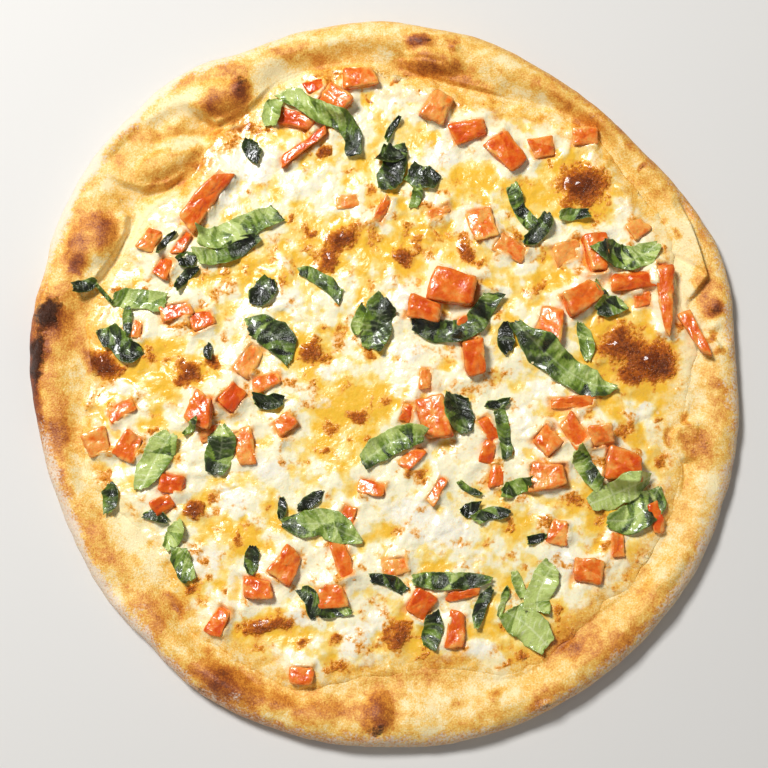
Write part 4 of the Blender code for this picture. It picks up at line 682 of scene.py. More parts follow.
def beside_line(x, y, seen_along):
    """A point's distance from a broken line, positive on the left as it is walked, and how
    far along the line its nearest point is, as a share."""
    line = [placed(seen_at, LINE_HEIGHT) for seen_at in seen_along]
    nearest, signed, walked = np.full_like(x, 1.0), np.zeros_like(x), np.zeros_like(x)
    before = 0.0
    for start, end in zip(line, line[1:]):
        length = np.hypot(*(end - start))
        step = (end - start) / length
        along = (x - start[0]) * step[0] + (y - start[1]) * step[1]
        left = (y - start[1]) * step[0] - (x - start[0]) * step[1]
        along = np.clip(along, 0.0, length)
        gap = np.hypot(x - start[0] - along * step[0], y - start[1] - along * step[1])
        closer = gap < nearest
        nearest = np.where(closer, gap, nearest)
        signed = np.where(closer, np.sign(left) * gap, signed)
        walked = np.where(closer, before + along, walked)
        before += length
    return signed, walked / before


def ledged(x, y):
    """The height that folded edges add: on the high side of each line a rise that is steep at
    the line and fades inwards, on the low side a dip. Both fade at the line's two ends."""
    height = np.zeros_like(x)
    for ledge in LEDGES:
        signed, share = beside_line(x, y, ledge.seen_along)
        window = ease(1 - share / LEDGE_FADE) * ease(1 - (1 - share) / LEDGE_FADE)
        step_up = 1 - ease(signed / LEDGE_STEP + 0.5)
        high = step_up * np.exp(-np.maximum(signed, 0) / (ledge.reach * MM))
        low = (1 - step_up) * np.exp(-(np.minimum(signed, 0) / LEDGE_DIP_WIDTH) ** 2)
        height = height + window * (ledge.rise * high - ledge.dip * low) * MM
    return height


def coloured(x, y, stain, widened=STAIN_WIDENED):
    """How strongly a point is coloured by a group of spots, whose edges wander with noise."""
    x = x + stain.wander * MM * layered_noise(x, y, STAIN_CELL, stain.seed)
    y = y + stain.wander * MM * layered_noise(x, y, STAIN_CELL, stain.seed + 7)
    clear = np.ones_like(x)
    for *oval, strength in stain.spots:
        share = from_oval(x, y, oval, PIXEL * widened)
        clear = clear * (1 - strength * (1 - share ** 2) ** 1.5)
    return 1 - clear


# ------------------------------------------------------------------ the forms, as heights
def crust_top(x, y):
    """The crust's upper side as in its solid: a ridge that falls to the cheese's edge and on
    to a flat floor, with lobes, blisters and dents."""
    angle, radius = np.arctan2(y, x), np.hypot(x, y)
    inward = np.maximum(outline_radius(angle) - radius, 0.0)
    width, flank = rim_width(angle), flank_width(angle)
    height = around(angle, CREST_ANGLES, CREST_HEIGHTS)
    fall = np.clip((inward - flank) / (width - flank), 0.0, 1.0)
    top = EDGE_HEIGHT + (height - EDGE_HEIGHT) * ease(fall)
    folded = top
    for *oval, crest in LOBES:
        lobe = crest * MM * (1 - from_oval(x, y, oval, MM) ** LOBE_ROUNDNESS)
        folded = softer_max(lobe, folded, LOBE_BLEND)
    folded = folded + risen(x, y, RIM_BLISTERS) + 0.5 * MM * noise(x, y, 14 * MM, 3)
    folded = folded + ledged(x, y)
    top = top + (folded - top) * ease((fall - FOLDS_END) / (1 - FOLDS_END))
    top = FLOOR_HEIGHT + (top - FLOOR_HEIGHT) * ease((inward - width) / FOOT_WIDTH)
    rounded = (1 - (1 - np.clip(inward / flank, 0.0, 1.0)) ** RIM_ROUNDNESS) ** (1 / RIM_ROUNDNESS)
    return WIDEST_HEIGHT + (top - WIDEST_HEIGHT) * rounded


def crust_relief(x, y):
    """Fine form of the dough: knobs a few millimetres wide, small bubbles and the creases."""
    relief = 0.45 * MM * layered_noise(x, y, 9 * MM, 31, 2)
    relief = relief + 0.16 * MM * np.maximum(layered_noise(x, y, 3.2 * MM, 41, 2), 0.0)
    crags = coloured(x, y, CHARRED_AND_SHADE)
    relief = relief + 1.0 * MM * crags * layered_noise(x, y, 2.6 * MM, 47, 2)
    for crease in CREASES:
        share = beside_line(x, y, crease.seen_along)[0] / (crease.width * MM)
        relief = relief - crease.depth * MM * np.exp(-share ** 2)
    return relief


def cheese_solid_top(x, y):
    """The cheese's upper side as in its solid: level and lumpy, a thin skin near its edge."""
    level = FLOOR_HEIGHT + FRESH_GAP + CHEESE_DEPTH
    level = level + 0.9 * MM * noise(x, y, 17 * MM, 11) + 0.5 * MM * noise(x, y, 9 * MM, 12)
    level = level + risen(x, y, CHEESE_BLISTERS)
    skin = crust_top(x, y) + FRESH_GAP + CHEESE_SKIN
    return softer_max(level, skin, CHEESE_BLEND)


def from_dice(x, y, dice):
    """The distance in plan from a point to a dice's outline, negative inside it."""
    along, across = turned(x, y, dice.seen_at, dice.turn)
    length, width = dice.size[0] * MM, dice.size[1] * MM
    far = np.clip(along / length + 0.5, 0.0, 1.0)
    half = 0.5 * width * (1 - dice.narrowing * far)
    return np.maximum(np.abs(along) - 0.5 * length, np.abs(across) - half)


def toasting(x, y):
    """How toasted the cheese is, 0 to 1: the named spots, and freckles where noise peaks."""
    often = np.clip(0.4 + 0.9 * coloured(x, y, GOLDEN) + 0.5 * noise(x, y, 30 * MM, 204), 0, 1.4)
    freckles = layered_noise(x, y, 5.0 * MM, 205, 2)
    freckles = 0.37 * np.clip(1.1 * freckles - 0.42 + 0.55 * often, 0.0, 1.0)
    return 1 - (1 - coloured(x, y, TOASTED)) * (1 - freckles)


def cheese_top(x, y, looks):
    """The cheese as it shows: the solid's form with curds, wrinkles and a rise round dice."""
    height = cheese_solid_top(x, y)
    curds = coloured(x, y, CURDS)
    bubbly = np.clip(0.65 + 0.8 * noise(x, y, 24 * MM, 77) + curds, 0.2, 1.2)
    lumps = bubbly * (heaps(x, y, 7.0 * MM, 71) - 0.35) + 0.3 * noise(x, y, 12 * MM, 72)
    height = height + looks.lump_height * (0.75 * lumps + 0.4 * curds)
    height = height + 0.11 * looks.lump_height * bubbly * layered_noise(x, y, 3.4 * MM, 75, 2)
    uneven = np.clip(0.55 + 0.8 * noise(x, y, 4.5 * MM, 91), 0.0, 1.15)
    for dice in TOMATOES + SMALL_TOMATOES:
        gap = from_dice(x, y, dice)
        bank = np.exp(-np.maximum(gap, 0.0) / BANK_WIDTH) * uneven
        inside = ease(-gap / JUICE_WIDTH)
        height = height + looks.bank_share * dice.size[2] * MM * bank * inside
    return height


# ------------------------------------------------------------------ meshes
def solids_shift():
    """How far the solids were moved to stand on the middle of their box."""
    angle = np.linspace(0.0, 2 * math.pi, SOLID_SIDES, endpoint=False)
    outline = outline_radius(angle) * np.array([np.cos(angle), np.sin(angle)])
    middle = 0.5 * (np.array(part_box("crust")).sum(0)[:2] - outline.min(1) - outline.max(1))
    return np.append(middle, 0.0)


SHIFT = solids_shift()


def made(name, points, faces, material, slot, replaced, **masks):
    """A smooth closed piece from arrays of points and faces, with its masks as attributes."""
    mesh = bpy.data.meshes.new(name)
    mesh.from_pydata(points + SHIFT, [], faces)
    mesh.shade_smooth()
    for key, values in masks.items():
        layer = mesh.attributes.new(key, "FLOAT", "POINT")
        layer.data.foreach_set("value", np.ascontiguousarray(values, dtype=np.float32))
    mesh.materials.append(material)
    piece = bpy.data.objects.new(name, mesh)
    bpy.context.scene.collection.objects.link(piece)
    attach(piece, "root")
    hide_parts(replaced)


def steps(count):
    """Equal steps up to 1, one for each ring of points."""
    return np.linspace(0.0, 1.0, count + 1)[1:, None]


def ring_faces(rings, sides):
    """Faces of a closed surface: quads between rings, and a fan to a pole at each end.
    Point numbers: the first pole, then ring after ring, then the last pole."""
    ring, side = np.meshgrid(np.arange(rings - 1), np.arange(sides), indexing="ij")
    after = (side + 1) % sides
    one = 1 + ring * sides
    quads = np.stack([one + side, one + after, one + sides + after, one + sides + side], -1)
    side = np.arange(sides)
    after = (side + 1) % sides
    last = 1 + (rings - 1) * sides
    first_fan = np.stack([np.zeros_like(side), 1 + after, 1 + side], -1)
    last_fan = np.stack([last + side, last + after, np.full(sides, last + sides)], -1)
    return quads.reshape(-1, 4).tolist() + first_fan.tolist() + last_fan.tolist()


def grid_faces(rows, columns):
    """Quads of a grid of points, and the point numbers of its border, counterclockwise."""
    number = np.arange(rows * columns).reshape(rows, columns)
    quads = np.stack([number[:-1, :-1], number[1:, :-1], number[1:, 1:], number[:-1, 1:]], -1)
    border = [number[:-1, 0], number[-1, :-1], number[:0:-1, -1], number[0, :0:-1]]
    return quads.reshape(-1, 4), np.concatenate(border)


def crust_piece(looks, material):
    """The dough as rings of points, from the middle of its underside out, up the side, over
    the rim and down under the cheese. Its height is the solid's plus the fine relief."""
    angle = np.linspace(0.0, 2 * math.pi, CRUST_SIDES, endpoint=False)
    outline, flank, width = outline_radius(angle), flank_width(angle), rim_width(angle)
    inset = UNDERSIDE_INSET * (1 + 0.25 * noise(angle * 40 * MM, angle, 5 * MM, 17))
    turn = 0.5 * math.pi * steps(CRUST_RINGS_TURN)
    radii = np.vstack([
        (outline - inset) * steps(CRUST_RINGS_UNDER) ** 0.5,
        outline - inset + inset * np.sin(turn) ** 0.9,
        outline - steps(CRUST_RINGS_FLANK) ** 1.7 * flank,
        outline - flank - steps(CRUST_RINGS_SLOPE) * (width - flank),
        outline - width - steps(CRUST_RINGS_FOOT) * (FOOT_WIDTH + 4 * MM),
    ])
    x, y = radii * np.cos(angle), radii * np.sin(angle)
    below = CRUST_RINGS_UNDER + CRUST_RINGS_TURN
    height = np.vstack([
        np.zeros((CRUST_RINGS_UNDER, CRUST_SIDES)),
        WIDEST_HEIGHT * (1 - np.cos(turn)) + 0 * angle,
        crust_top(x[below:], y[below:]),
    ])
    inward = np.maximum(outline - radii, 0.0)
    faded = np.clip(inward[below:] / (0.35 * flank), 0.0, 1.0)
    height[below:] += looks.relief * crust_relief(x[below:], y[below:]) * faded
    knobs = layered_noise(NOISE_REACH * np.cos(angle) + 0 * height,
                          NOISE_REACH * np.sin(angle) + height, 9 * MM, 23)
    bulge = np.clip(height / (4 * MM), 0, 1) * (1 - np.clip(inward / flank, 0, 1))
    grown = 1 + 0.35 * MM * knobs * bulge / radii
    x, y = x * grown, y * grown
    under = slice(CRUST_RINGS_UNDER)
    scorched = layered_noise(x[under], y[under], 11 * MM, 29)
    height[under] += 0.25 * MM * np.clip(-scorched, 0, 1)
    points = np.stack([x, y, height], -1).reshape(-1, 3)
    points = np.vstack([(0, 0, 0), points, (0, 0, FLOOR_HEIGHT)])
    top = np.arange(len(points)) > CRUST_SIDES * (below - 3)
    made("baked_crust", points, ring_faces(len(radii), CRUST_SIDES), material, "dough",
         "crust", **dough_masks(points[:, 0], points[:, 1], top))


def dough_masks(x, y, top):
    """How baked, charred and floury the dough is, 0 to 1: from the named spots and noise on
    its upper side, by angle on its outer side, and from noise alone underneath. The baked and
    charred masks also carry the painted shade and the painted highlight of a few spots on the folds."""
    angle = np.arctan2(y, x)
    inward = outline_radius(angle) - np.hypot(x, y)
    degrees, *sides = zip(*SIDES_BAKED)
    side_baked, side_floury = (around(angle, np.radians(degrees), side) for side in sides)
    mottled = 0.30 + 0.16 * layered_noise(x, y, 24 * MM, 107, 2)
    mottled = mottled + 0.12 * layered_noise(x, y, 7 * MM, 109, 3)
    # Pale spots and browned spots; two browned strips are partly painted shade and one pale spot is a
    # painted highlight.
    mottled = mottled * (1 - 0.95 * coloured(x, y, PALE_DOUGH_AND_HIGHLIGHT))
    baked = 1 - (1 - coloured(x, y, BAKED_AND_SHADE)) * (1 - np.clip(mottled, 0, 1))
    wander = 1.6 * MM * layered_noise(x, y, 8 * MM, 123)
    outer = ease((inward + wander - 2.2 * MM) / (4.2 * MM))
    dusted = ease((inward + wander - 2 * MM) / (8 * MM))
    baked = baked * (1 - outer) + side_baked * outer
    floury = 0.9 * coloured(x, y, FLOURED) * (1 - 0.4 * outer)
    floury = np.clip(np.maximum(floury, side_floury * dusted), 0, 1)
    under = np.clip(layered_noise(x, y, 13 * MM, 131) * 0.5 + 0.4, 0, 1)
    scorched = np.clip(1.6 * layered_noise(x, y, 9 * MM, 137) - 0.5, 0, 0.8) * (inward > 6 * MM)
    return {
        "baked": np.where(top, baked, under),
        "charred": np.where(top, coloured(x, y, CHARRED_AND_SHADE), scorched),
        "floury": np.where(top, floury, 0.5),
    }


def disc(cells):
    """A square grid pulled into a round one: angle and share of the radius at each point."""
    line = np.linspace(-1.0, 1.0, cells + 1)
    a, b = np.meshgrid(line, line, indexing="ij")
    wide = np.abs(a) >= np.abs(b)
    reach = np.where(wide, a, b)
    safe = np.where(reach == 0, 1.0, reach)
    slant = np.where(wide, b, a) / safe * math.pi / 4
    angle = np.where(wide, slant, math.pi / 2 - slant)
    angle = np.where(reach < 0, angle + math.pi, angle)
    return angle, np.abs(reach)


def cheese_piece(looks, relief_share, material):
    """The cheese as a round grid: its top is uneven and thins to nothing at a ragged edge,
    and under it a smooth sheet closes the solid."""
    angle, share = disc(CHEESE_CELLS)
    ragged_edge = layered_noise(NOISE_REACH * np.cos(angle), NOISE_REACH * np.sin(angle),
                                11 * MM, 151, 4)
    reach = around(angle, EDGE_ANGLES, EDGE_RADII) + 1.8 * MM * ragged_edge
    radius = share * reach
    x, y = radius * np.cos(angle), radius * np.sin(angle)
    top = cheese_top(x, y, looks)
    dough = crust_top(x, y) + relief_share * crust_relief(x, y)
    thin = np.clip((reach - radius) / CHEESE_EDGE_WIDTH, 0.0, 1.0)
    thin = thin * (2 - thin)
    relief = np.clip((top - cheese_solid_top(x, y)) / looks.lump_height, -1.0, 1.0)
    top = dough + (top - dough) * thin - 0.5 * MM * (1 - thin) ** 2
    points = np.stack([x, y, top], -1).reshape(-1, 3)
    count = len(points)
    quads, rim = grid_faces(CHEESE_CELLS + 1, CHEESE_CELLS + 1)
    edge_x, edge_y, _ = points[rim].T
    around_edge, edge_reach = np.arctan2(edge_y, edge_x), np.hypot(edge_x, edge_y)
    faces, outer, sheets = quads.tolist(), rim, [points]
    for inset, lift in ((0.7 * MM, -0.5 * MM), (0.5 * FOOT_WIDTH, 0.0), (FOOT_WIDTH, 0.0)):
        x, y = (edge_reach - inset) * (np.cos(around_edge), np.sin(around_edge))
        inner = count + (len(sheets) - 1) * len(rim) + np.arange(len(rim))
        faces += np.stack([np.roll(outer, -1), outer, inner, np.roll(inner, -1)], -1).tolist()
        sheets.append(np.stack([x, y, crust_top(x, y) + lift], -1))
        outer = inner
    pole = np.full(len(rim), outer[-1] + 1)
    faces += np.stack([np.roll(outer, -1), outer, pole], -1).tolist()
    points = np.vstack(sheets + [(0.0, 0.0, FLOOR_HEIGHT)])
    below = len(points) - count
    edge_share = np.append(share, np.ones(below))
    hollows = np.append(0.95 * (0.08 - relief), np.zeros(below))
    made("melted_cheese", points, faces, material, "cheese", "cheese",
         **cheese_masks(points[:, 0], points[:, 1], edge_share, hollows))


def cheese_masks(x, y, edge_share, hollows):
    """How toasted, juicy, curdy and oily the cheese is, and how near its edge: from the named
    spots, the dice, the hollows and noise. The dough's masks are for its thin edge."""
    juicy = 0.5 * coloured(x, y, JUICY)
    for dice in TOMATOES + SMALL_TOMATOES:
        gap = np.maximum(from_dice(x, y, dice), 0.0)
        juicy = np.maximum(juicy, 0.75 * np.exp(-gap / JUICE_WIDTH))
    pools = 0.55 * np.clip(1.3 * layered_noise(x, y, 9 * MM, 213, 2) - 0.25, 0.0, 1.0)
    halo = coloured(x, y, TOASTED._replace(wander=2.5, seed=207), 2.6)
    oily = coloured(x, y, OILY) + hollows + pools + 0.4 * coloured(x, y, GOLDEN) + 0.7 * halo
    return {
        "toasted": toasting(x, y),
        "juicy": juicy,
        "curdy": coloured(x, y, CURDS),
        "rim": np.interp(edge_share, (0.84, 0.99), (0.0, 1.0)) ** 1.3,
        "oily": oily,
        **dough_masks(x, y, True),
    }


def squarish(angle, square):
    """The radius of a square with rounded corners, by angle: a superellipse."""
    return (np.abs(np.cos(angle)) ** square + np.abs(np.sin(angle)) ** square) ** (-1 / square)


def dice_arrays(dice, seed, looks, low=None):
    """A diced piece: a rounded box swept around and up, narrowed along its length, its four
    corners pulled about and its top cut at a slant. Returns its points and its masks."""
    rng = np.random.default_rng(seed)
    length, width, height = (side * MM for side in dice.size)
    turn_at = np.linspace(0.0, 2 * math.pi, DICE_AROUND, endpoint=False)[None, :]
    turn_at = turn_at + 0.1 * np.sin(4 * turn_at)
    rise_at = np.linspace(-0.5 * math.pi, 0.5 * math.pi, DICE_UP + 2)[1:-1, None]
    plan = squarish(turn_at, looks.dice_squareness)
    section = squarish(rise_at, SECTION_SQUARENESS)
    out = section * np.cos(rise_at)
    u, v = plan * np.cos(turn_at) * out, plan * np.sin(turn_at) * out
    up = 0.5 * section * np.sin(rise_at) + 0 * turn_at + 0.5
    upper = up > 0.5
    rim = np.maximum(np.abs(u), np.abs(v))
    # The top edges, which the material paints lighter as a painted highlight.
    edge = np.clip((np.minimum(rim, 1) - 0.72) / 0.28, 0, 1) * np.clip((up - 0.5) / 0.5, 0, 1)
    corners = rng.uniform(-0.24, 0.24, (4, 2))
    shares = ((1 - u) * (1 - v), (1 + u) * (1 - v), (1 + u) * (1 + v), (1 - u) * (1 + v))
    pulled = [sum(0.25 * share * corner[axis] for share, corner in zip(shares, corners))
              for axis in (0, 1)]
    lean, slant, bow = rng.uniform(-0.18, 0.18, 2), rng.uniform(-0.2, 0.2, 2), rng.uniform(0, 0.5)
    far = 0.5 * (u + 1)
    along = 0.5 * (u + pulled[0]) * length + lean[0] * up * height
    across = 0.5 * (v + pulled[1]) * (1 - dice.narrowing * far) * width
    across = across + lean[1] * up * height + 0.12 * width * (bow - 0.25) * (1 - u ** 2)
    above = up * height * (1 + slant[0] * u + slant[1] * v - 0.2 * dice.narrowing * far)
    above = above - 0.04 * height * upper * (u ** 2 + v ** 2)
    shake = 40 * MM * rng.uniform(0, 1, 2)
    streaks = layered_noise(0.25 * along + shake[1], across + 0.6 * above, 1.0 * MM, 311, 3)
    planes, tone = facets(along + 0.5 * across + shake[0], across + 0.7 * above - 0.3 * along,
                          7.0 * MM, seed)
    for axis, cell in ((0, 3.6), (1, 2.0)):
        wobble = layered_noise(along + 1.7 * above + shake[0], across + 1.3 * above + shake[1],
                               cell * MM, 300 + axis, 2)
        along = along + 0.30 * MM * wobble * np.cos(turn_at)
        across = across + 0.30 * MM * wobble * np.sin(turn_at)
        above = above + 0.24 * MM * wobble * upper
    above = above + 0.5 * MM * planes * upper * (1 - 0.5 * edge)
    along = along + 0.45 * MM * planes * np.cos(turn_at)
    across = across + 0.45 * MM * planes * np.sin(turn_at)
    middle, turn = placed(dice.seen_at), math.radians(dice.turn)
    x = along * math.cos(turn) - across * math.sin(turn)
    y = along * math.sin(turn) + across * math.cos(turn)
    reach = 0.4 * max(length, width)
    ground = cheese_solid_top(middle[0] + reach * np.array([1.0, -1.0, 0.0, 0.0]),
                              middle[1] + reach * np.array([0.0, 0.0, 1.0, -1.0]))
    tilt = ((ground[0] - ground[1]) * x + (ground[2] - ground[3]) * y) / (2 * reach)
    base = ground.mean() + tilt if low is None else low + 0.8 * (tilt - tilt.min())
    points = np.stack([x + middle[0], y + middle[1], base - looks.sink + above], -1)
    points = np.vstack([points[0].mean(0), points.reshape(-1, 3), points[-1].mean(0)])
    skin = np.clip(1.4 * (np.cos(turn_at - rng.uniform(0, 6.28)) * rim - 0.55), 0, 1) + 0 * up
    # The paleness of each dice and its streaks are the flesh's own; the tone of each facet is painted
    # light and shade on the cut faces.
    pale = dice.paleness + 0.07 * streaks + 0.22 * tone
    masks = {key: np.concatenate([[first], mask.reshape(-1), [last]])
             for key, first, mask, last in (
                 ("bare", 0.0, np.clip(above / (3.0 * MM), 0, 1), 1.0),
                 ("edge", 0.0, edge, 0.0), ("skin", 0.0, skin, 0.0),
                 ("pale", dice.paleness, pale, dice.paleness))}
    return points, masks


def tomato_piece(dice, seed, looks, material):
    """One diced piece, standing at the height of its solid."""
    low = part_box(dice.name)[0][2]
    points, masks = dice_arrays(dice, seed, looks, low)
    made(dice.name.replace("tomato", "flesh"), points, ring_faces(DICE_UP, DICE_AROUND),
         material, "tomato", dice.name, **masks)


def joined(name, parts, material, slot):
    """One piece from several closed forms, each with its own points, faces and masks."""
    faces, start = [], 0
    for points, own_faces, _ in parts:
        faces += [[start + corner for corner in face] for face in own_faces]
        start += len(points)
    masks = {key: np.concatenate([part[2][key] for part in parts]) for key in parts[0][2]}
    made(name, np.vstack([part[0] for part in parts]), faces, material, slot, "cheese", **masks)


def small_tomato_piece(looks, material):
    """All the smaller dice as one piece, each a closed form of its own."""
    parts = []
    for number, dice in enumerate(SMALL_TOMATOES):
        points, masks = dice_arrays(dice, 500 + number, looks)
        points[:, 2] -= looks.sink * (0.4 + 1.2 * max(dice.paleness - 0.5, 0))
        parts.append((points, ring_faces(DICE_UP, DICE_AROUND), masks))
    joined("small_flesh", parts, material, "tomato")


def ground_at(x, y, cheese_looks, covered):
    """The height of what a leaf lies on: the cheese or dough, and the dice over them."""
    height = np.maximum(cheese_top(x, y, cheese_looks), crust_top(x, y))
    for dice, top in covered:
        over = from_dice(x, y, dice) < 0.4 * MM
        height = np.where(over, np.maximum(height, top), height)
    return height


def draped(ground):
    """A sheet laid over uneven ground: it bridges the hollows and never goes below."""
    sheet = ground.copy()
    for _ in range(DRAPE_STEPS):
        padded = np.pad(sheet, 1, mode="edge")
        near = (padded[:-2, 1:-1] + padded[2:, 1:-1] + padded[1:-1, :-2] + padded[1:-1, 2:]) / 4
        sheet = np.maximum(ground - FRESH_GAP, near)
    return sheet


def leaf_arrays(line, width, ends, curl, tilt, paleness, seed, looks, ground):
    """A leaf or a strip of one: a sheet laid along a line over what lies below. Its edges curl
    up and are torn, its ends are cut at a slant, sharp pleats and small crinkles run across
    it, and a second sheet below closes the solid."""
    rng = np.random.default_rng(seed)
    share = np.linspace(0.0, 1.0, LEAF_ALONG + 1)
    middle = through(line, share * (len(line) - 1))
    ahead = np.gradient(middle, axis=0)
    ahead /= np.hypot(*ahead.T)[:, None]
    side = np.column_stack([-ahead[:, 1], ahead[:, 0]])
    length = np.hypot(*np.diff(middle, axis=0).T).sum()
    across = np.linspace(-1.0, 1.0, LEAF_ACROSS + 1)
    reach_end = ends[0] * (1 - share) + ends[1] * share
    full = reach_end + (1 - reach_end) * np.minimum(np.minimum(share, 1 - share) / 0.26, 1.0)
    flat_run = share * length
    edge = [1 + 0.13 * layered_noise(flat_run + 10 * MM * number, 0 * flat_run, 5 * MM,
                                     seed + number, 3) for number in (1, 2)]
    uneven = np.where(across < 0, edge[0][:, None], edge[1][:, None])
    half = 0.5 * width * MM * full[:, None] * uneven
    run = flat_run[:, None]
    bend = max(math.radians(curl), 1e-3)
    wave = run / (24 * MM) + rng.uniform()
    twist = math.radians(tilt) + 0.16 * np.sin(2 * math.pi * wave)
    flat = half * np.sin(bend * across) / bend * np.cos(twist)
    spine = rng.uniform(-0.3, 0.3)
    rise = half * (0.35 * (1 - np.cos(bend * across)) / bend
                   + 0.6 * math.tan(bend / 2) * np.abs(across - spine) + across * np.sin(twist))
    from_middle = np.abs(2 * share - 1)[:, None]
    rise = rise + looks.end_curl * from_middle ** 3 * rng.uniform(0.1, 1.0)
    skew = rng.uniform(-0.9, 0.9) * across * half
    # The folds' flat facets, and for each a tone that is used below as painted light and shade.
    folded, tone = facets(run + skew, 0.5 * half * across - 0.3 * run, looks.pleat_length,
                          seed + 3)
    pleats = (run + 0.5 * skew) / looks.pleat_length
    pleats = pleats + 0.9 * noise(run + 0 * half, half * across, 8 * MM, seed + 6)
    pleats = pleats - np.floor(pleats)
    depth = np.clip(0.4 + 0.9 * noise(run, 0 * run, 9 * MM, seed + 4), 0, 1)
    creased = depth * np.abs(2 * pleats - 1)
    rise = rise + looks.pleat_height * (0.9 * folded + 0.35 * creased)
    rise = rise + looks.ripple * np.abs(across) ** 2 * np.sin(
        2 * math.pi * run / looks.wave_length + rng.uniform(0, 6))
    slant = rng.uniform(-0.7, 0.7, 2)
    cut = slant[0] * np.clip(1 - 4 * share, 0, 1) + slant[1] * np.clip(4 * share - 3, 0, 1)
    torn = 0.6 * MM * noise(across * 9 * MM, 0 * across, 2.2 * MM, seed + 5)
    forward = cut[:, None] * flat + torn * from_middle ** 8
    x = middle[:, :1] + side[:, :1] * flat + ahead[:, :1] * forward
    y = middle[:, 1:] + side[:, 1:] * flat + ahead[:, 1:] * forward
    crinkle = layered_noise(x + seed * MM, y, 3.0 * MM, seed + 9, 3)
    lines_at = (run + skew) / looks.vein_gap + 0.6 * np.abs(across) + 0.25 * crinkle
    from_vein = np.abs(lines_at - np.round(lines_at)) * looks.vein_gap
    vein = np.exp(-(from_vein / VEIN_WIDTH) ** 2) * np.clip(0.5 + crinkle, 0, 1)
    midrib = np.exp(-((across * half - 0.2 * MM) / MIDRIB_WIDTH) ** 2) * (width > 11)
    vein = np.maximum(0.8 * vein, midrib)
    rise = rise + looks.crinkle * crinkle - 0.08 * MM * vein
    height = draped(ground(x, y)) + rise - 0.6 * min(rise.min(), 0.0) + LEAF_LIFT
    left = (across + 1) / 2
    start, end = (paleness[at + 1] + (paleness[at] - paleness[at + 1]) * left for at in (0, 2))
    pale = start * (1 - share[:, None]) + end * share[:, None]
    # Painted light and shade: each facet of the folds takes a lighter or darker tone, and one side of
    # each pleat is lighter and the other darker, standing in for the light on the folds.
    pale = pale + 0.10 * layered_noise(x, y, 4.5 * MM, seed + 13, 3) + 0.26 * tone
    pale = pale + 0.08 * depth * np.sign(pleats - 0.5)
    points, faces = closed_sheet(np.stack([x, y, height], -1), looks.thickness,
                                 1 - 0.6 * np.abs(across)[:, None] ** 6)
    return points, faces, {
        "pale": np.append(pale, np.full(height.size, 0.75)),
        "vein": np.append(vein, vein),
        "edge": np.tile(across ** 8, 2 * len(height)),
    }


def closed_sheet(upper, thickness, thinned):
    """A solid from a grid of points: a second sheet lies below it along its normals, at the
    thickness times a share for each column, and a strip of quads joins their borders."""
    normal = np.cross(np.gradient(upper, axis=1), np.gradient(upper, axis=0))
    normal /= np.linalg.norm(normal, axis=-1, keepdims=True)
    normal *= np.sign(normal[..., 2].mean())
    lower = upper - normal * thickness * thinned
    rows, columns, _ = upper.shape
    count = rows * columns
    quads, border = grid_faces(rows, columns)
    loop = np.roll(border[::-1], 1)
    after = np.roll(loop, -1)
    strip = np.stack([loop, after, after + count, loop + count], -1)
    faces = np.vstack([np.roll(quads, -1, 1), quads[:, [0, 3, 2, 1]] + count, strip])
    points = np.vstack([upper.reshape(-1, 3), lower.reshape(-1, 3)])
    if signed_volume(points, faces) < 0:
        faces = faces[:, ::-1]
    return points, faces.tolist()


def signed_volume(points, faces):
    """Six times the volume inside quads, positive where they face outwards."""
    a, b, c, d = (points[faces[:, corner]] for corner in range(4))
    return (a * np.cross(b, c)).sum() + (a * np.cross(c, d)).sum()


def leaf_piece(leaf, seed, looks, ground, material):
    """One leaf, laid along its middle line."""
    line = np.array([placed(seen_at, LINE_HEIGHT) for seen_at in leaf.seen_along])
    points, faces, masks = leaf_arrays(line, leaf.width, leaf.ends, leaf.curl, leaf.tilt,
                                       leaf.paleness, seed, looks, ground)
    made(leaf.name.replace("basil", "leaf"), points, faces, material, "basil", leaf.name, **masks)


def scrap_piece(looks, ground, material):
    """All the scraps of basil as one piece, each a small closed leaf of its own."""
    parts = []
    for number, (seen_x, seen_y, long, wide, degrees, first, last) in enumerate(SCRAPS):
        rng = np.random.default_rng(900 + number)
        middle, turn = placed((seen_x, seen_y), LINE_HEIGHT), math.radians(degrees)
        along = 0.5 * long * MM * np.array([math.cos(turn), math.sin(turn)])
        bow = rng.uniform(-0.25, 0.25) * np.array([-along[1], along[0]])
        line = np.array([middle - along, middle + bow, middle + along])
        parts.append(leaf_arrays(
            line, wide, (rng.uniform(0.3, 0.9), rng.uniform(0.2, 0.8)),
            rng.uniform(15, 50), rng.uniform(-8, 8), (first, first - 0.2, last, last - 0.2),
            940 + 20 * number, looks, ground))
    joined("basil_scraps", parts, material, "basil")


# ------------------------------------------------------------------ materials
def seen(red, green, blue):
    """A colour as it is seen, 0 to 255, as linear light."""
    values = np.array([red, green, blue]) / 255
    linear = np.where(values <= 0.04045, values / 12.92, ((values + 0.055) / 1.055) ** 2.4)
    return tuple(float(value) for value in linear)


def feed(tree, target, inputs):
    """Gives a node its inputs: each is a number, a colour or another node's output socket."""
    for key, value in inputs.items():
        if isinstance(value, bpy.types.NodeSocket):
            tree.links.new(value, target.inputs[key])
        elif target.inputs[key].type == "RGBA":
            target.inputs[key].default_value = (*value, 1.0)
        else:
            target.inputs[key].default_value = value


def node(tree, kind, inputs, **settings):
    """Adds a node with its settings and inputs."""
    added = tree.nodes.new("ShaderNode" + kind)
    for key, value in settings.items():
        setattr(added, key, value)
    feed(tree, added, inputs)
    return added


def mixed(tree, share, one, other):
    """One colour blended into another by a mask."""
    return node(tree, "Mix", {0: share, 6: one, 7: other}, data_type="RGBA").outputs[2]


def scaled(tree, value, factor, added=0.0, clamp=False):
    """A value times a factor, plus another value."""
    return node(tree, "Math", {0: value, 1: factor, 2: added}, operation="MULTIPLY_ADD",
                use_clamp=clamp).outputs[0]


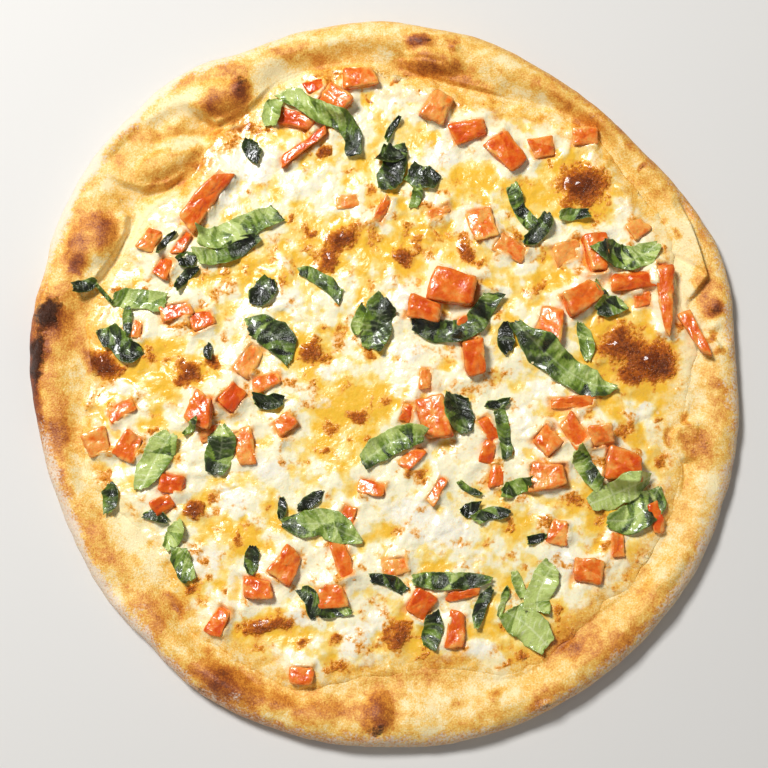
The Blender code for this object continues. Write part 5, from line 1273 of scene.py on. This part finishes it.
def new_group(name, inputs, output):
    """An empty node group with named number sockets, and the place that its points are at."""
    tree = bpy.data.node_groups.new(name, "ShaderNodeTree")
    for label, value in inputs.items():
        socket = tree.interface.new_socket(label, in_out="INPUT", socket_type="NodeSocketFloat")
        socket.default_value = value
    tree.interface.new_socket(output, in_out="OUTPUT", socket_type="NodeSocketFloat")
    given, result = tree.nodes.new("NodeGroupInput"), tree.nodes.new("NodeGroupOutput")
    return tree, given.outputs, result, node(tree, "TexCoord", {}).outputs["Object"]


def uneven_group():
    """Adds noise of many sizes to a mask, so that whatever is cut from it has a ragged edge."""
    tree, given, result, where = new_group(
        "Uneven mask", {"Mask": 0.0, "Scale": 300.0, "Spread": 0.5, "Fineness": 0.62}, "Mask")
    grain = node(tree, "TexNoise", {"Vector": where, "Scale": given["Scale"], "Detail": 6.0,
                                    "Roughness": given["Fineness"]}).outputs[0]
    total = scaled(tree, scaled(tree, grain, 1.0, -0.5), given["Spread"], given["Mask"], True)
    feed(tree, result, {"Mask": total})
    return tree


def grain_group():
    """Fine relief for a bump: broad soft noise with finer pits and grains over it."""
    tree, given, result, where = new_group(
        "Fine grain", {"Scale": 400.0, "Pits": 0.3, "Fineness": 0.65}, "Height")
    broad = node(tree, "TexNoise", {"Vector": where, "Scale": given["Scale"], "Detail": 5.0,
                                    "Roughness": given["Fineness"]}).outputs[0]
    finer = scaled(tree, given["Scale"], 2.3)
    cells = node(tree, "TexVoronoi", {"Vector": where, "Scale": finer}).outputs["Distance"]
    feed(tree, result, {"Height": scaled(tree, cells, given["Pits"], broad)})
    return tree


def shared(tree, name, build, inputs):
    """The output of a shared node group, which is built once."""
    group = bpy.data.node_groups.get(name) or build()
    return node(tree, "Group", inputs, node_tree=group).outputs[0]


def uneven(tree, mask, scale, spread, fineness=0.62):
    """A mask with noise added: `scale` sets how small it is and `spread` how strong."""
    return shared(tree, "Uneven mask", uneven_group,
                  {"Mask": mask, "Scale": scale, "Spread": spread, "Fineness": fineness})


def stretched(tree, mask, low, high):
    """A mask that is none up to `low`, full from `high` and eased between."""
    return node(tree, "MapRange", {"Value": mask, "From Min": low, "From Max": high},
                interpolation_type="SMOOTHSTEP", clamp=True).outputs[0]


def ragged(tree, mask, scale, spread, low, high, strength=1.0):
    """A mask cut out of uneven noise, between two levels, at a strength."""
    return scaled(tree, stretched(tree, uneven(tree, mask, scale, spread), low, high), strength)


def ramp(tree, share, *stops):
    """A colour that runs through the stops, each a place from 0 to 1 and a colour."""
    band = node(tree, "ValToRGB", {"Fac": share})
    elements = band.color_ramp.elements
    elements[0].position, elements[-1].position = stops[0][0], stops[-1][0]
    for at, _ in stops[1:-1]:
        elements.new(at)
    for element, (_, colour) in zip(elements, stops):
        element.color = (*colour, 1.0)
    return band.outputs["Color"]


def grained(tree, scale, pits, strength, distance, fineness=0.65, crusty=None):
    """A normal bumped by fine grain, and by a coarser one where crusty."""
    grain = shared(tree, "Fine grain", grain_group,
                   {"Scale": scale, "Pits": pits, "Fineness": fineness})
    bump = node(tree, "Bump", {"Height": grain, "Strength": strength, "Distance": distance})
    if crusty is not None:
        crags = scaled(tree, crusty, uneven(tree, 0.5, 620.0, 2.0))
        bump = node(tree, "Bump", {"Height": crags, "Strength": 0.9, "Distance": CRAG_HEIGHT,
                                   "Normal": bump.outputs["Normal"]})
    return bump.outputs["Normal"]


def new_material(name, *masks):
    """A material's name and nodes, and the masks that it reads from the mesh."""
    material = bpy.data.materials.new(name)
    material.use_nodes = True
    tree = material.node_tree
    return material, tree, [
        node(tree, "Attribute", {}, attribute_name=mask).outputs["Fac"] for mask in masks]


def finished(material, colour, rough, normal, subsurface, spread, coat=0.0, coat_rough=0.03):
    """Feeds the shader with what changes over the surface and what is uniform."""
    tree = material.node_tree
    inputs = {"Base Color": colour, "Roughness": rough, "Normal": normal,
              "Subsurface Weight": subsurface, "Subsurface Radius": spread,
              "Coat Weight": coat, "Coat Roughness": coat_rough}
    feed(tree, tree.nodes["Principled BSDF"], inputs)
    return material


def dough_colour(tree, looks, baked, charred, floury):
    """Dough from cream through golden and tan to brown as it bakes, with flour and char, and the
    painted shade and painted highlight that a few spots carry. Also returns the masks of flour
    and of char with painted shade."""
    baked = uneven(tree, uneven(tree, baked, 230.0, 0.75), 1300.0, 0.85)
    colour = ramp(tree, baked, (0.08, looks.cream), (0.32, looks.golden), (0.54, looks.toasted),
                  (0.80, looks.browned), (1.0, looks.scorched))
    flour = ragged(tree, floury, 900.0, 1.8, 0.40, 0.90, 0.85)
    char_and_shade = ragged(tree, charred, 520.0, 1.1, 0.30, 0.75)
    return mixed(tree, char_and_shade, mixed(tree, flour, colour, looks.flour), looks.charred), flour, char_and_shade


def dough_material(looks):
    """Pale dough that turns golden, brown and black where it baked, with flour over it, and a
    few spots of painted shade and one painted highlight on the folds.
    """
    material, tree, masks = new_material("baked dough", "baked", "charred", "floury")
    colour, flour, char_and_shade = dough_colour(tree, looks, *masks)
    normal = grained(tree, scale=800.0, pits=0.45, strength=0.42, distance=0.0008,
                     fineness=0.6, crusty=char_and_shade)
    return finished(material, colour, scaled(tree, flour, 0.3, 0.48), normal,
                    subsurface=0.06, spread=(0.004, 0.002, 0.001))


def cheese_material(looks, dough_looks):
    """White curds in yellow oily cheese, stained by tomato, toasted in spots, and thinning
    out over the dough at its edge."""
    material, tree, (toasted, oily, curdy, juicy, rim, *baking_and_painted_light) = new_material(
        "melted cheese", "toasted", "oily", "curdy", "juicy", "rim", "baked", "charred", "floury")
    fat = uneven(tree, scaled(tree, oily, 0.75, 0.22), 170.0, 2.1, 0.5)
    colour = ramp(tree, fat, (0.20, looks.milky), (0.45, looks.creamy), (0.80, looks.oily))
    juice = stretched(tree, uneven(tree, juicy, 190.0, 1.0), 0.30, 0.85)
    colour = mixed(tree, juice, colour, looks.stained)
    colour = mixed(tree, ragged(tree, juicy, 220.0, 1.2, 0.60, 1.1, 0.5), colour, looks.juice)
    colour = mixed(tree, ragged(tree, curdy, 230.0, 1.1, 0.34, 0.72, 0.92), colour, looks.curd)
    heat = uneven(tree, uneven(tree, toasted, 260.0, 0.45), 700.0, 0.8, 0.45)
    toast = ramp(tree, heat, (0.12, looks.golden), (0.44, looks.amber), (0.64, looks.browned),
                 (0.96, looks.scorched))
    # The dough's colour under the thin edge, with the dough's painted shade and highlight where they
    # reach.
    dough = dough_colour(tree, dough_looks, *baking_and_painted_light)[0]
    thin = ragged(tree, rim, 210.0, 1.2, 0.35, 0.85)
    gold = scaled(tree, stretched(tree, heat, 0.04, 0.42), stretched(tree, rim, 0.98, 0.80))
    colour = mixed(tree, gold, mixed(tree, thin, colour, dough), toast)
    rough = scaled(tree, uneven(tree, 0.5, 330.0, 1.6), 0.34, 0.08)
    normal = grained(tree, scale=260.0, pits=0.12, strength=0.5, distance=0.0013,
                     fineness=0.5, crusty=stretched(tree, heat, 0.30, 0.75))
    return finished(material, colour, rough, normal, subsurface=0.12,
                    spread=(0.003, 0.002, 0.001), coat=0.25, coat_rough=0.1)


def tomato_material(looks):
    """Wet orange red flesh, paler in places, with painted light and shade on its facets, a
    painted highlight along its top edges, and a film of cheese round its foot.
    """
    material, tree, (bare, pale, edge, skin) = new_material(
        "tomato flesh", "bare", "pale", "edge", "skin")
    # Lighter along the top edges, a painted highlight, and by the facets' painted light and shade.
    light = uneven(tree, scaled(tree, edge, 0.35, pale), 280.0, 1.4, 0.6)
    colour = ramp(tree, light, (0.10, looks.red), (0.50, looks.orange), (1.0, looks.pale))
    colour = mixed(tree, scaled(tree, skin, 0.6), colour, looks.skin)
    film = ragged(tree, scaled(tree, bare, -1.0, 1.0), 300.0, 1.3, 0.45, 1.0, 0.8)
    colour = mixed(tree, film, colour, looks.film)
    rough = scaled(tree, uneven(tree, 0.5, 420.0, 1.6), 0.30, 0.12)
    normal = grained(tree, scale=380.0, pits=0.3, strength=0.45, distance=0.0006, fineness=0.5)
    return finished(material, colour, rough, normal, subsurface=0.3,
                    spread=(0.005, 0.0015, 0.0008), coat=0.30, coat_rough=0.1)


def basil_material(looks):
    """Leaf that runs from nearly black and wet to pale green, partly by the painted light and shade
    of its facets and pleats, with paler veins and edges.
    """
    material, tree, (pale, vein, edge) = new_material("basil leaf", "pale", "vein", "edge")
    tone = uneven(tree, pale, 600.0, 0.5)
    colour = ramp(tree, tone, (0.06, looks.darkest), (0.28, looks.dark), (0.50, looks.green),
                  (0.80, looks.pale))
    colour = mixed(tree, scaled(tree, vein, scaled(tree, tone, 0.9)), colour, looks.veins)
    colour = mixed(tree, scaled(tree, edge, 0.35), colour, looks.green)
    normal = grained(tree, scale=600.0, pits=0.35, strength=0.55, distance=0.0008)
    return finished(material, colour, scaled(tree, tone, 0.3, 0.22), normal, subsurface=0.05,
                    spread=(0.001, 0.002, 0.0005), coat=0.35, coat_rough=0.12)


def floor_material(looks):
    """A pale surface with the faintest unevenness."""
    material, tree, _ = new_material("pale floor")
    darker = [0.985 * value for value in looks.floor]
    colour = mixed(tree, uneven(tree, 0.5, 6.0, 0.6), looks.floor, darker)
    feed(tree, tree.nodes["Principled BSDF"], {"Base Color": colour, "Roughness": 0.8})
    return material


# ------------------------------------------------------------------ properties
def colour_property(label, description, *default):
    """A colour that a user can change, given as it is seen."""
    return FloatVectorProperty(name=label, description=description, default=seen(*default),
                               subtype="COLOR", size=3, min=0.0, max=1.0)


def length_property(label, description, millimetres):
    """A length that a user can change."""
    return FloatProperty(name=label, description=description, default=millimetres * MM, min=0.0,
                         unit="LENGTH", precision=5)


class CrustLooks(bpy.types.PropertyGroup):
    """Sizes and colours of the baked dough."""

    relief: FloatProperty(name="Relief", description="Depth of the fine relief, as a factor",
                          default=1.0, min=0.0, max=3.0)
    # The ramp from cream to scorched also paints the shade strips under the folds and the highlight on
    # the tongue's edge.
    cream: colour_property("Cream", "Dough that stayed pale", 254, 234, 180)
    golden: colour_property("Golden", "Dough that turned golden", 246, 196, 90)
    toasted: colour_property("Toasted", "Well baked dough", 220, 140, 44)
    browned: colour_property("Browned", "Browned blisters", 160, 80, 22)
    scorched: colour_property("Scorched", "Darkest baked dough", 112, 50, 16)
    # Also the colour of the painted shade in the small hollow under the tongue.
    charred: colour_property("Charred", "Burnt spots", 78, 40, 18)
    flour: colour_property("Flour", "Dusting of flour", 236, 222, 202)


class CheeseLooks(bpy.types.PropertyGroup):
    """Sizes and colours of the melted cheese."""

    lump_height: length_property("Lump height", "Height of the curds", 1.5)
    bank_share: FloatProperty(name="Bank", description="Rise of the cheese round tomato",
                              default=0.62, min=0.0, max=1.0, subtype="FACTOR")
    milky: colour_property("Milky", "Plain melted cheese", 255, 245, 208)
    creamy: colour_property("Creamy", "Creamy melted cheese", 254, 224, 134)
    curd: colour_property("Curd", "White curds", 255, 248, 228)
    oily: colour_property("Oily", "Yellow oily cheese", 248, 194, 60)
    stained: colour_property("Stained", "Cheese tinted by tomato", 250, 186, 104)
    juice: colour_property("Juice", "Tomato juice on cheese", 232, 104, 34)
    golden: colour_property("Golden", "Golden toasted cheese", 250, 196, 74)
    amber: colour_property("Amber", "Amber toasted cheese", 230, 142, 28)
    browned: colour_property("Browned", "Browned cheese", 208, 108, 32)
    scorched: colour_property("Scorched", "Darkest spots", 128, 56, 18)


class TomatoLooks(bpy.types.PropertyGroup):
    """Sizes and colours of the diced tomato."""

    sink: length_property("Sink", "How deep a dice sits in the cheese", 0.9)
    dice_squareness: FloatProperty(name="Squareness", description="How square a dice is in plan",
                                   default=11.0, min=2.0, max=14.0)
    red: colour_property("Red", "Deep red flesh", 216, 76, 8)
    orange: colour_property("Orange", "Lighter flesh", 237, 118, 30)
    # Also the colour of the painted highlight along the dice's top edges.
    pale: colour_property("Pale", "Palest flesh and edges", 247, 180, 90)
    skin: colour_property("Skin", "Outer skin", 196, 40, 2)
    film: colour_property("Film", "Film of cheese round the foot", 252, 206, 128)


class BasilLooks(bpy.types.PropertyGroup):
    """Sizes and colours of the basil."""

    thickness: length_property("Thickness", "Thickness of a leaf", 0.45)
    ripple: length_property("Ripple", "Height of the waves along the edges", 0.8)
    wave_length: length_property("Wave length", "Length of the waves along a leaf", 11)
    pleat_height: length_property("Pleat height", "Height of the sharp pleats", 0.9)
    pleat_length: length_property("Pleat length", "Distance between pleats", 5.5)
    vein_gap: length_property("Vein gap", "Distance between side veins", 2.2)
    crinkle: length_property("Crinkle", "Height of the small crinkles", 0.22)
    end_curl: length_property("End curl", "How far the ends lift", 1.6)
    # These tones also carry the painted light and shade on the leaves' facets and pleats.
    darkest: colour_property("Darkest", "Wilted wet leaf", 22, 26, 10)
    dark: colour_property("Dark", "Dark upper side", 50, 66, 22)
    green: colour_property("Green", "Fresh upper side", 112, 140, 36)
    pale: colour_property("Pale", "Underside", 188, 204, 112)
    veins: colour_property("Veins", "Veins", 238, 242, 198)


class StageLooks(bpy.types.PropertyGroup):
    """The floor and the light."""

    floor: colour_property("Floor", "Colour of the floor", 222, 220, 216)
    key_power: FloatProperty(name="Key power", description="Power of the large light in watts",
                             default=23.5, min=0.0, unit="POWER")
    fill_power: FloatProperty(name="Fill power", description="Power of each side light in watts",
                              default=1.6, min=0.0, unit="POWER")
    fill: FloatProperty(name="Fill", description="Strength of the light from all round",
                        default=0.12, min=0.0)


# ------------------------------------------------------------------ operators
class PIZZA_OT_crust(bpy.types.Operator):
    """Builds the baked crust"""

    bl_idname = "pizza.crust"
    bl_label = "Build the crust"

    def execute(self, context):
        looks = context.scene.pizza_crust
        crust_piece(looks, dough_material(looks))
        return {"FINISHED"}


class PIZZA_OT_cheese(bpy.types.Operator):
    """Builds the melted cheese"""

    bl_idname = "pizza.cheese"
    bl_label = "Build the cheese"

    def execute(self, context):
        looks, dough_looks = context.scene.pizza_cheese, context.scene.pizza_crust
        cheese_piece(looks, dough_looks.relief, cheese_material(looks, dough_looks))
        return {"FINISHED"}


class PIZZA_OT_tomatoes(bpy.types.Operator):
    """Builds the diced tomato, large and small"""

    bl_idname = "pizza.tomatoes"
    bl_label = "Build the tomato"

    def execute(self, context):
        looks = context.scene.pizza_tomato
        material = tomato_material(looks)
        for number, dice in enumerate(TOMATOES):
            tomato_piece(dice, 400 + number, looks, material)
        small_tomato_piece(looks, material)
        return {"FINISHED"}


class PIZZA_OT_basil(bpy.types.Operator):
    """Builds the torn basil, large and small"""

    bl_idname = "pizza.basil"
    bl_label = "Build the basil"

    def execute(self, context):
        looks, cheese_looks = context.scene.pizza_basil, context.scene.pizza_cheese
        material = basil_material(looks)
        dice_tops = [(dice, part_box(dice.name)[1][2] - DICE_DIP) for dice in TOMATOES]
        on_dice, under_dice = (partial(ground_at, cheese_looks=cheese_looks, covered=covered)
                               for covered in (dice_tops, ()))
        for number, leaf in enumerate(BASIL):
            ground = under_dice if leaf.name == "basil_under_tomato" else on_dice
            leaf_piece(leaf, 600 + 20 * number, looks, ground, material)
        scrap_piece(looks, on_dice, material)
        return {"FINISHED"}


class PIZZA_OT_stage(bpy.types.Operator):
    """Builds the floor, the light and the camera"""

    bl_idname = "pizza.stage"
    bl_label = "Build the stage"

    def execute(self, context):
        scene, looks = context.scene, context.scene.pizza_stage
        scene.view_settings.view_transform = "Standard"
        mesh = bpy.data.meshes.new("floor")
        corners = [(x, y, 0) for x, y in ((-1, -1), (1, -1), (1, 1), (-1, 1))]
        mesh.from_pydata(FLOOR_REACH * np.array(corners), [], [(0, 1, 2, 3)])
        mesh.materials.append(floor_material(looks))
        floor = bpy.data.objects.new("floor", mesh)
        world = bpy.data.worlds.new("soft light")
        world.use_nodes = True
        sky = world.node_tree.nodes["Background"]
        feed(world.node_tree, sky, {"Color": (1, 0.98, 0.96), "Strength": looks.fill})
        scene.world = world
        lens = bpy.data.cameras.new("camera")
        lens.sensor_width = SENSOR_WIDTH_MM
        lens.lens = LENS_PIXELS / PICTURE_PIXELS * SENSOR_WIDTH_MM
        camera = bpy.data.objects.new("camera", lens)
        aim = SHIFT[:2] - MIDDLE
        camera.location = (aim[0], aim[1] - VIEW_DISTANCE * math.sin(VIEW_TILT),
                           VIEW_DISTANCE * math.cos(VIEW_TILT))
        camera.rotation_euler = (VIEW_TILT, 0.0, 0.0)
        scene.collection.objects.link(floor)
        scene.collection.objects.link(camera)
        scene.camera = camera
        for name, power, side, at in LIGHTS:
            light = bpy.data.lights.new(name, "AREA")
            light.energy, light.size = getattr(looks, power), side
            lamp = bpy.data.objects.new(name, light)
            lamp.location = at
            lamp.rotation_euler = Vector(at).to_track_quat("Z", "Y").to_euler()
            scene.collection.objects.link(lamp)
        return {"FINISHED"}


class PIZZA_PT_panel(bpy.types.Panel):
    """Lists the pieces of the pizza"""

    bl_idname = "PIZZA_PT_panel"
    bl_label = "Caprese pizza"
    bl_space_type = "VIEW_3D"
    bl_region_type = "UI"
    bl_category = "Pizza"

    def draw(self, context):
        for operator, looks in PIECES:
            box = self.layout.box()
            box.operator(operator.bl_idname)
            group = getattr(context.scene, looks)
            for name in group.bl_rna.properties.keys():
                if name not in ("rna_type", "name"):
                    box.prop(group, name)


PIECES = (
    (PIZZA_OT_crust, "pizza_crust"),
    (PIZZA_OT_cheese, "pizza_cheese"),
    (PIZZA_OT_tomatoes, "pizza_tomato"),
    (PIZZA_OT_basil, "pizza_basil"),
    (PIZZA_OT_stage, "pizza_stage"),
)
LOOKS = (
    ("pizza_crust", CrustLooks),
    ("pizza_cheese", CheeseLooks),
    ("pizza_tomato", TomatoLooks),
    ("pizza_basil", BasilLooks),
    ("pizza_stage", StageLooks),
)


def register():
    for name, group in LOOKS:
        bpy.utils.register_class(group)
        setattr(bpy.types.Scene, name, PointerProperty(type=group))
    for operator, _ in PIECES:
        bpy.utils.register_class(operator)
    bpy.utils.register_class(PIZZA_PT_panel)


def unregister():
    bpy.utils.unregister_class(PIZZA_PT_panel)
    for operator, _ in reversed(PIECES):
        bpy.utils.unregister_class(operator)
    for name, group in reversed(LOOKS):
        delattr(bpy.types.Scene, name)
        bpy.utils.unregister_class(group)


def main():
    register()
    bpy.ops.pizza.crust()
    bpy.ops.pizza.cheese()
    bpy.ops.pizza.tomatoes()
    bpy.ops.pizza.basil()
    bpy.ops.pizza.stage()


if __name__ == "__main__":
    main()
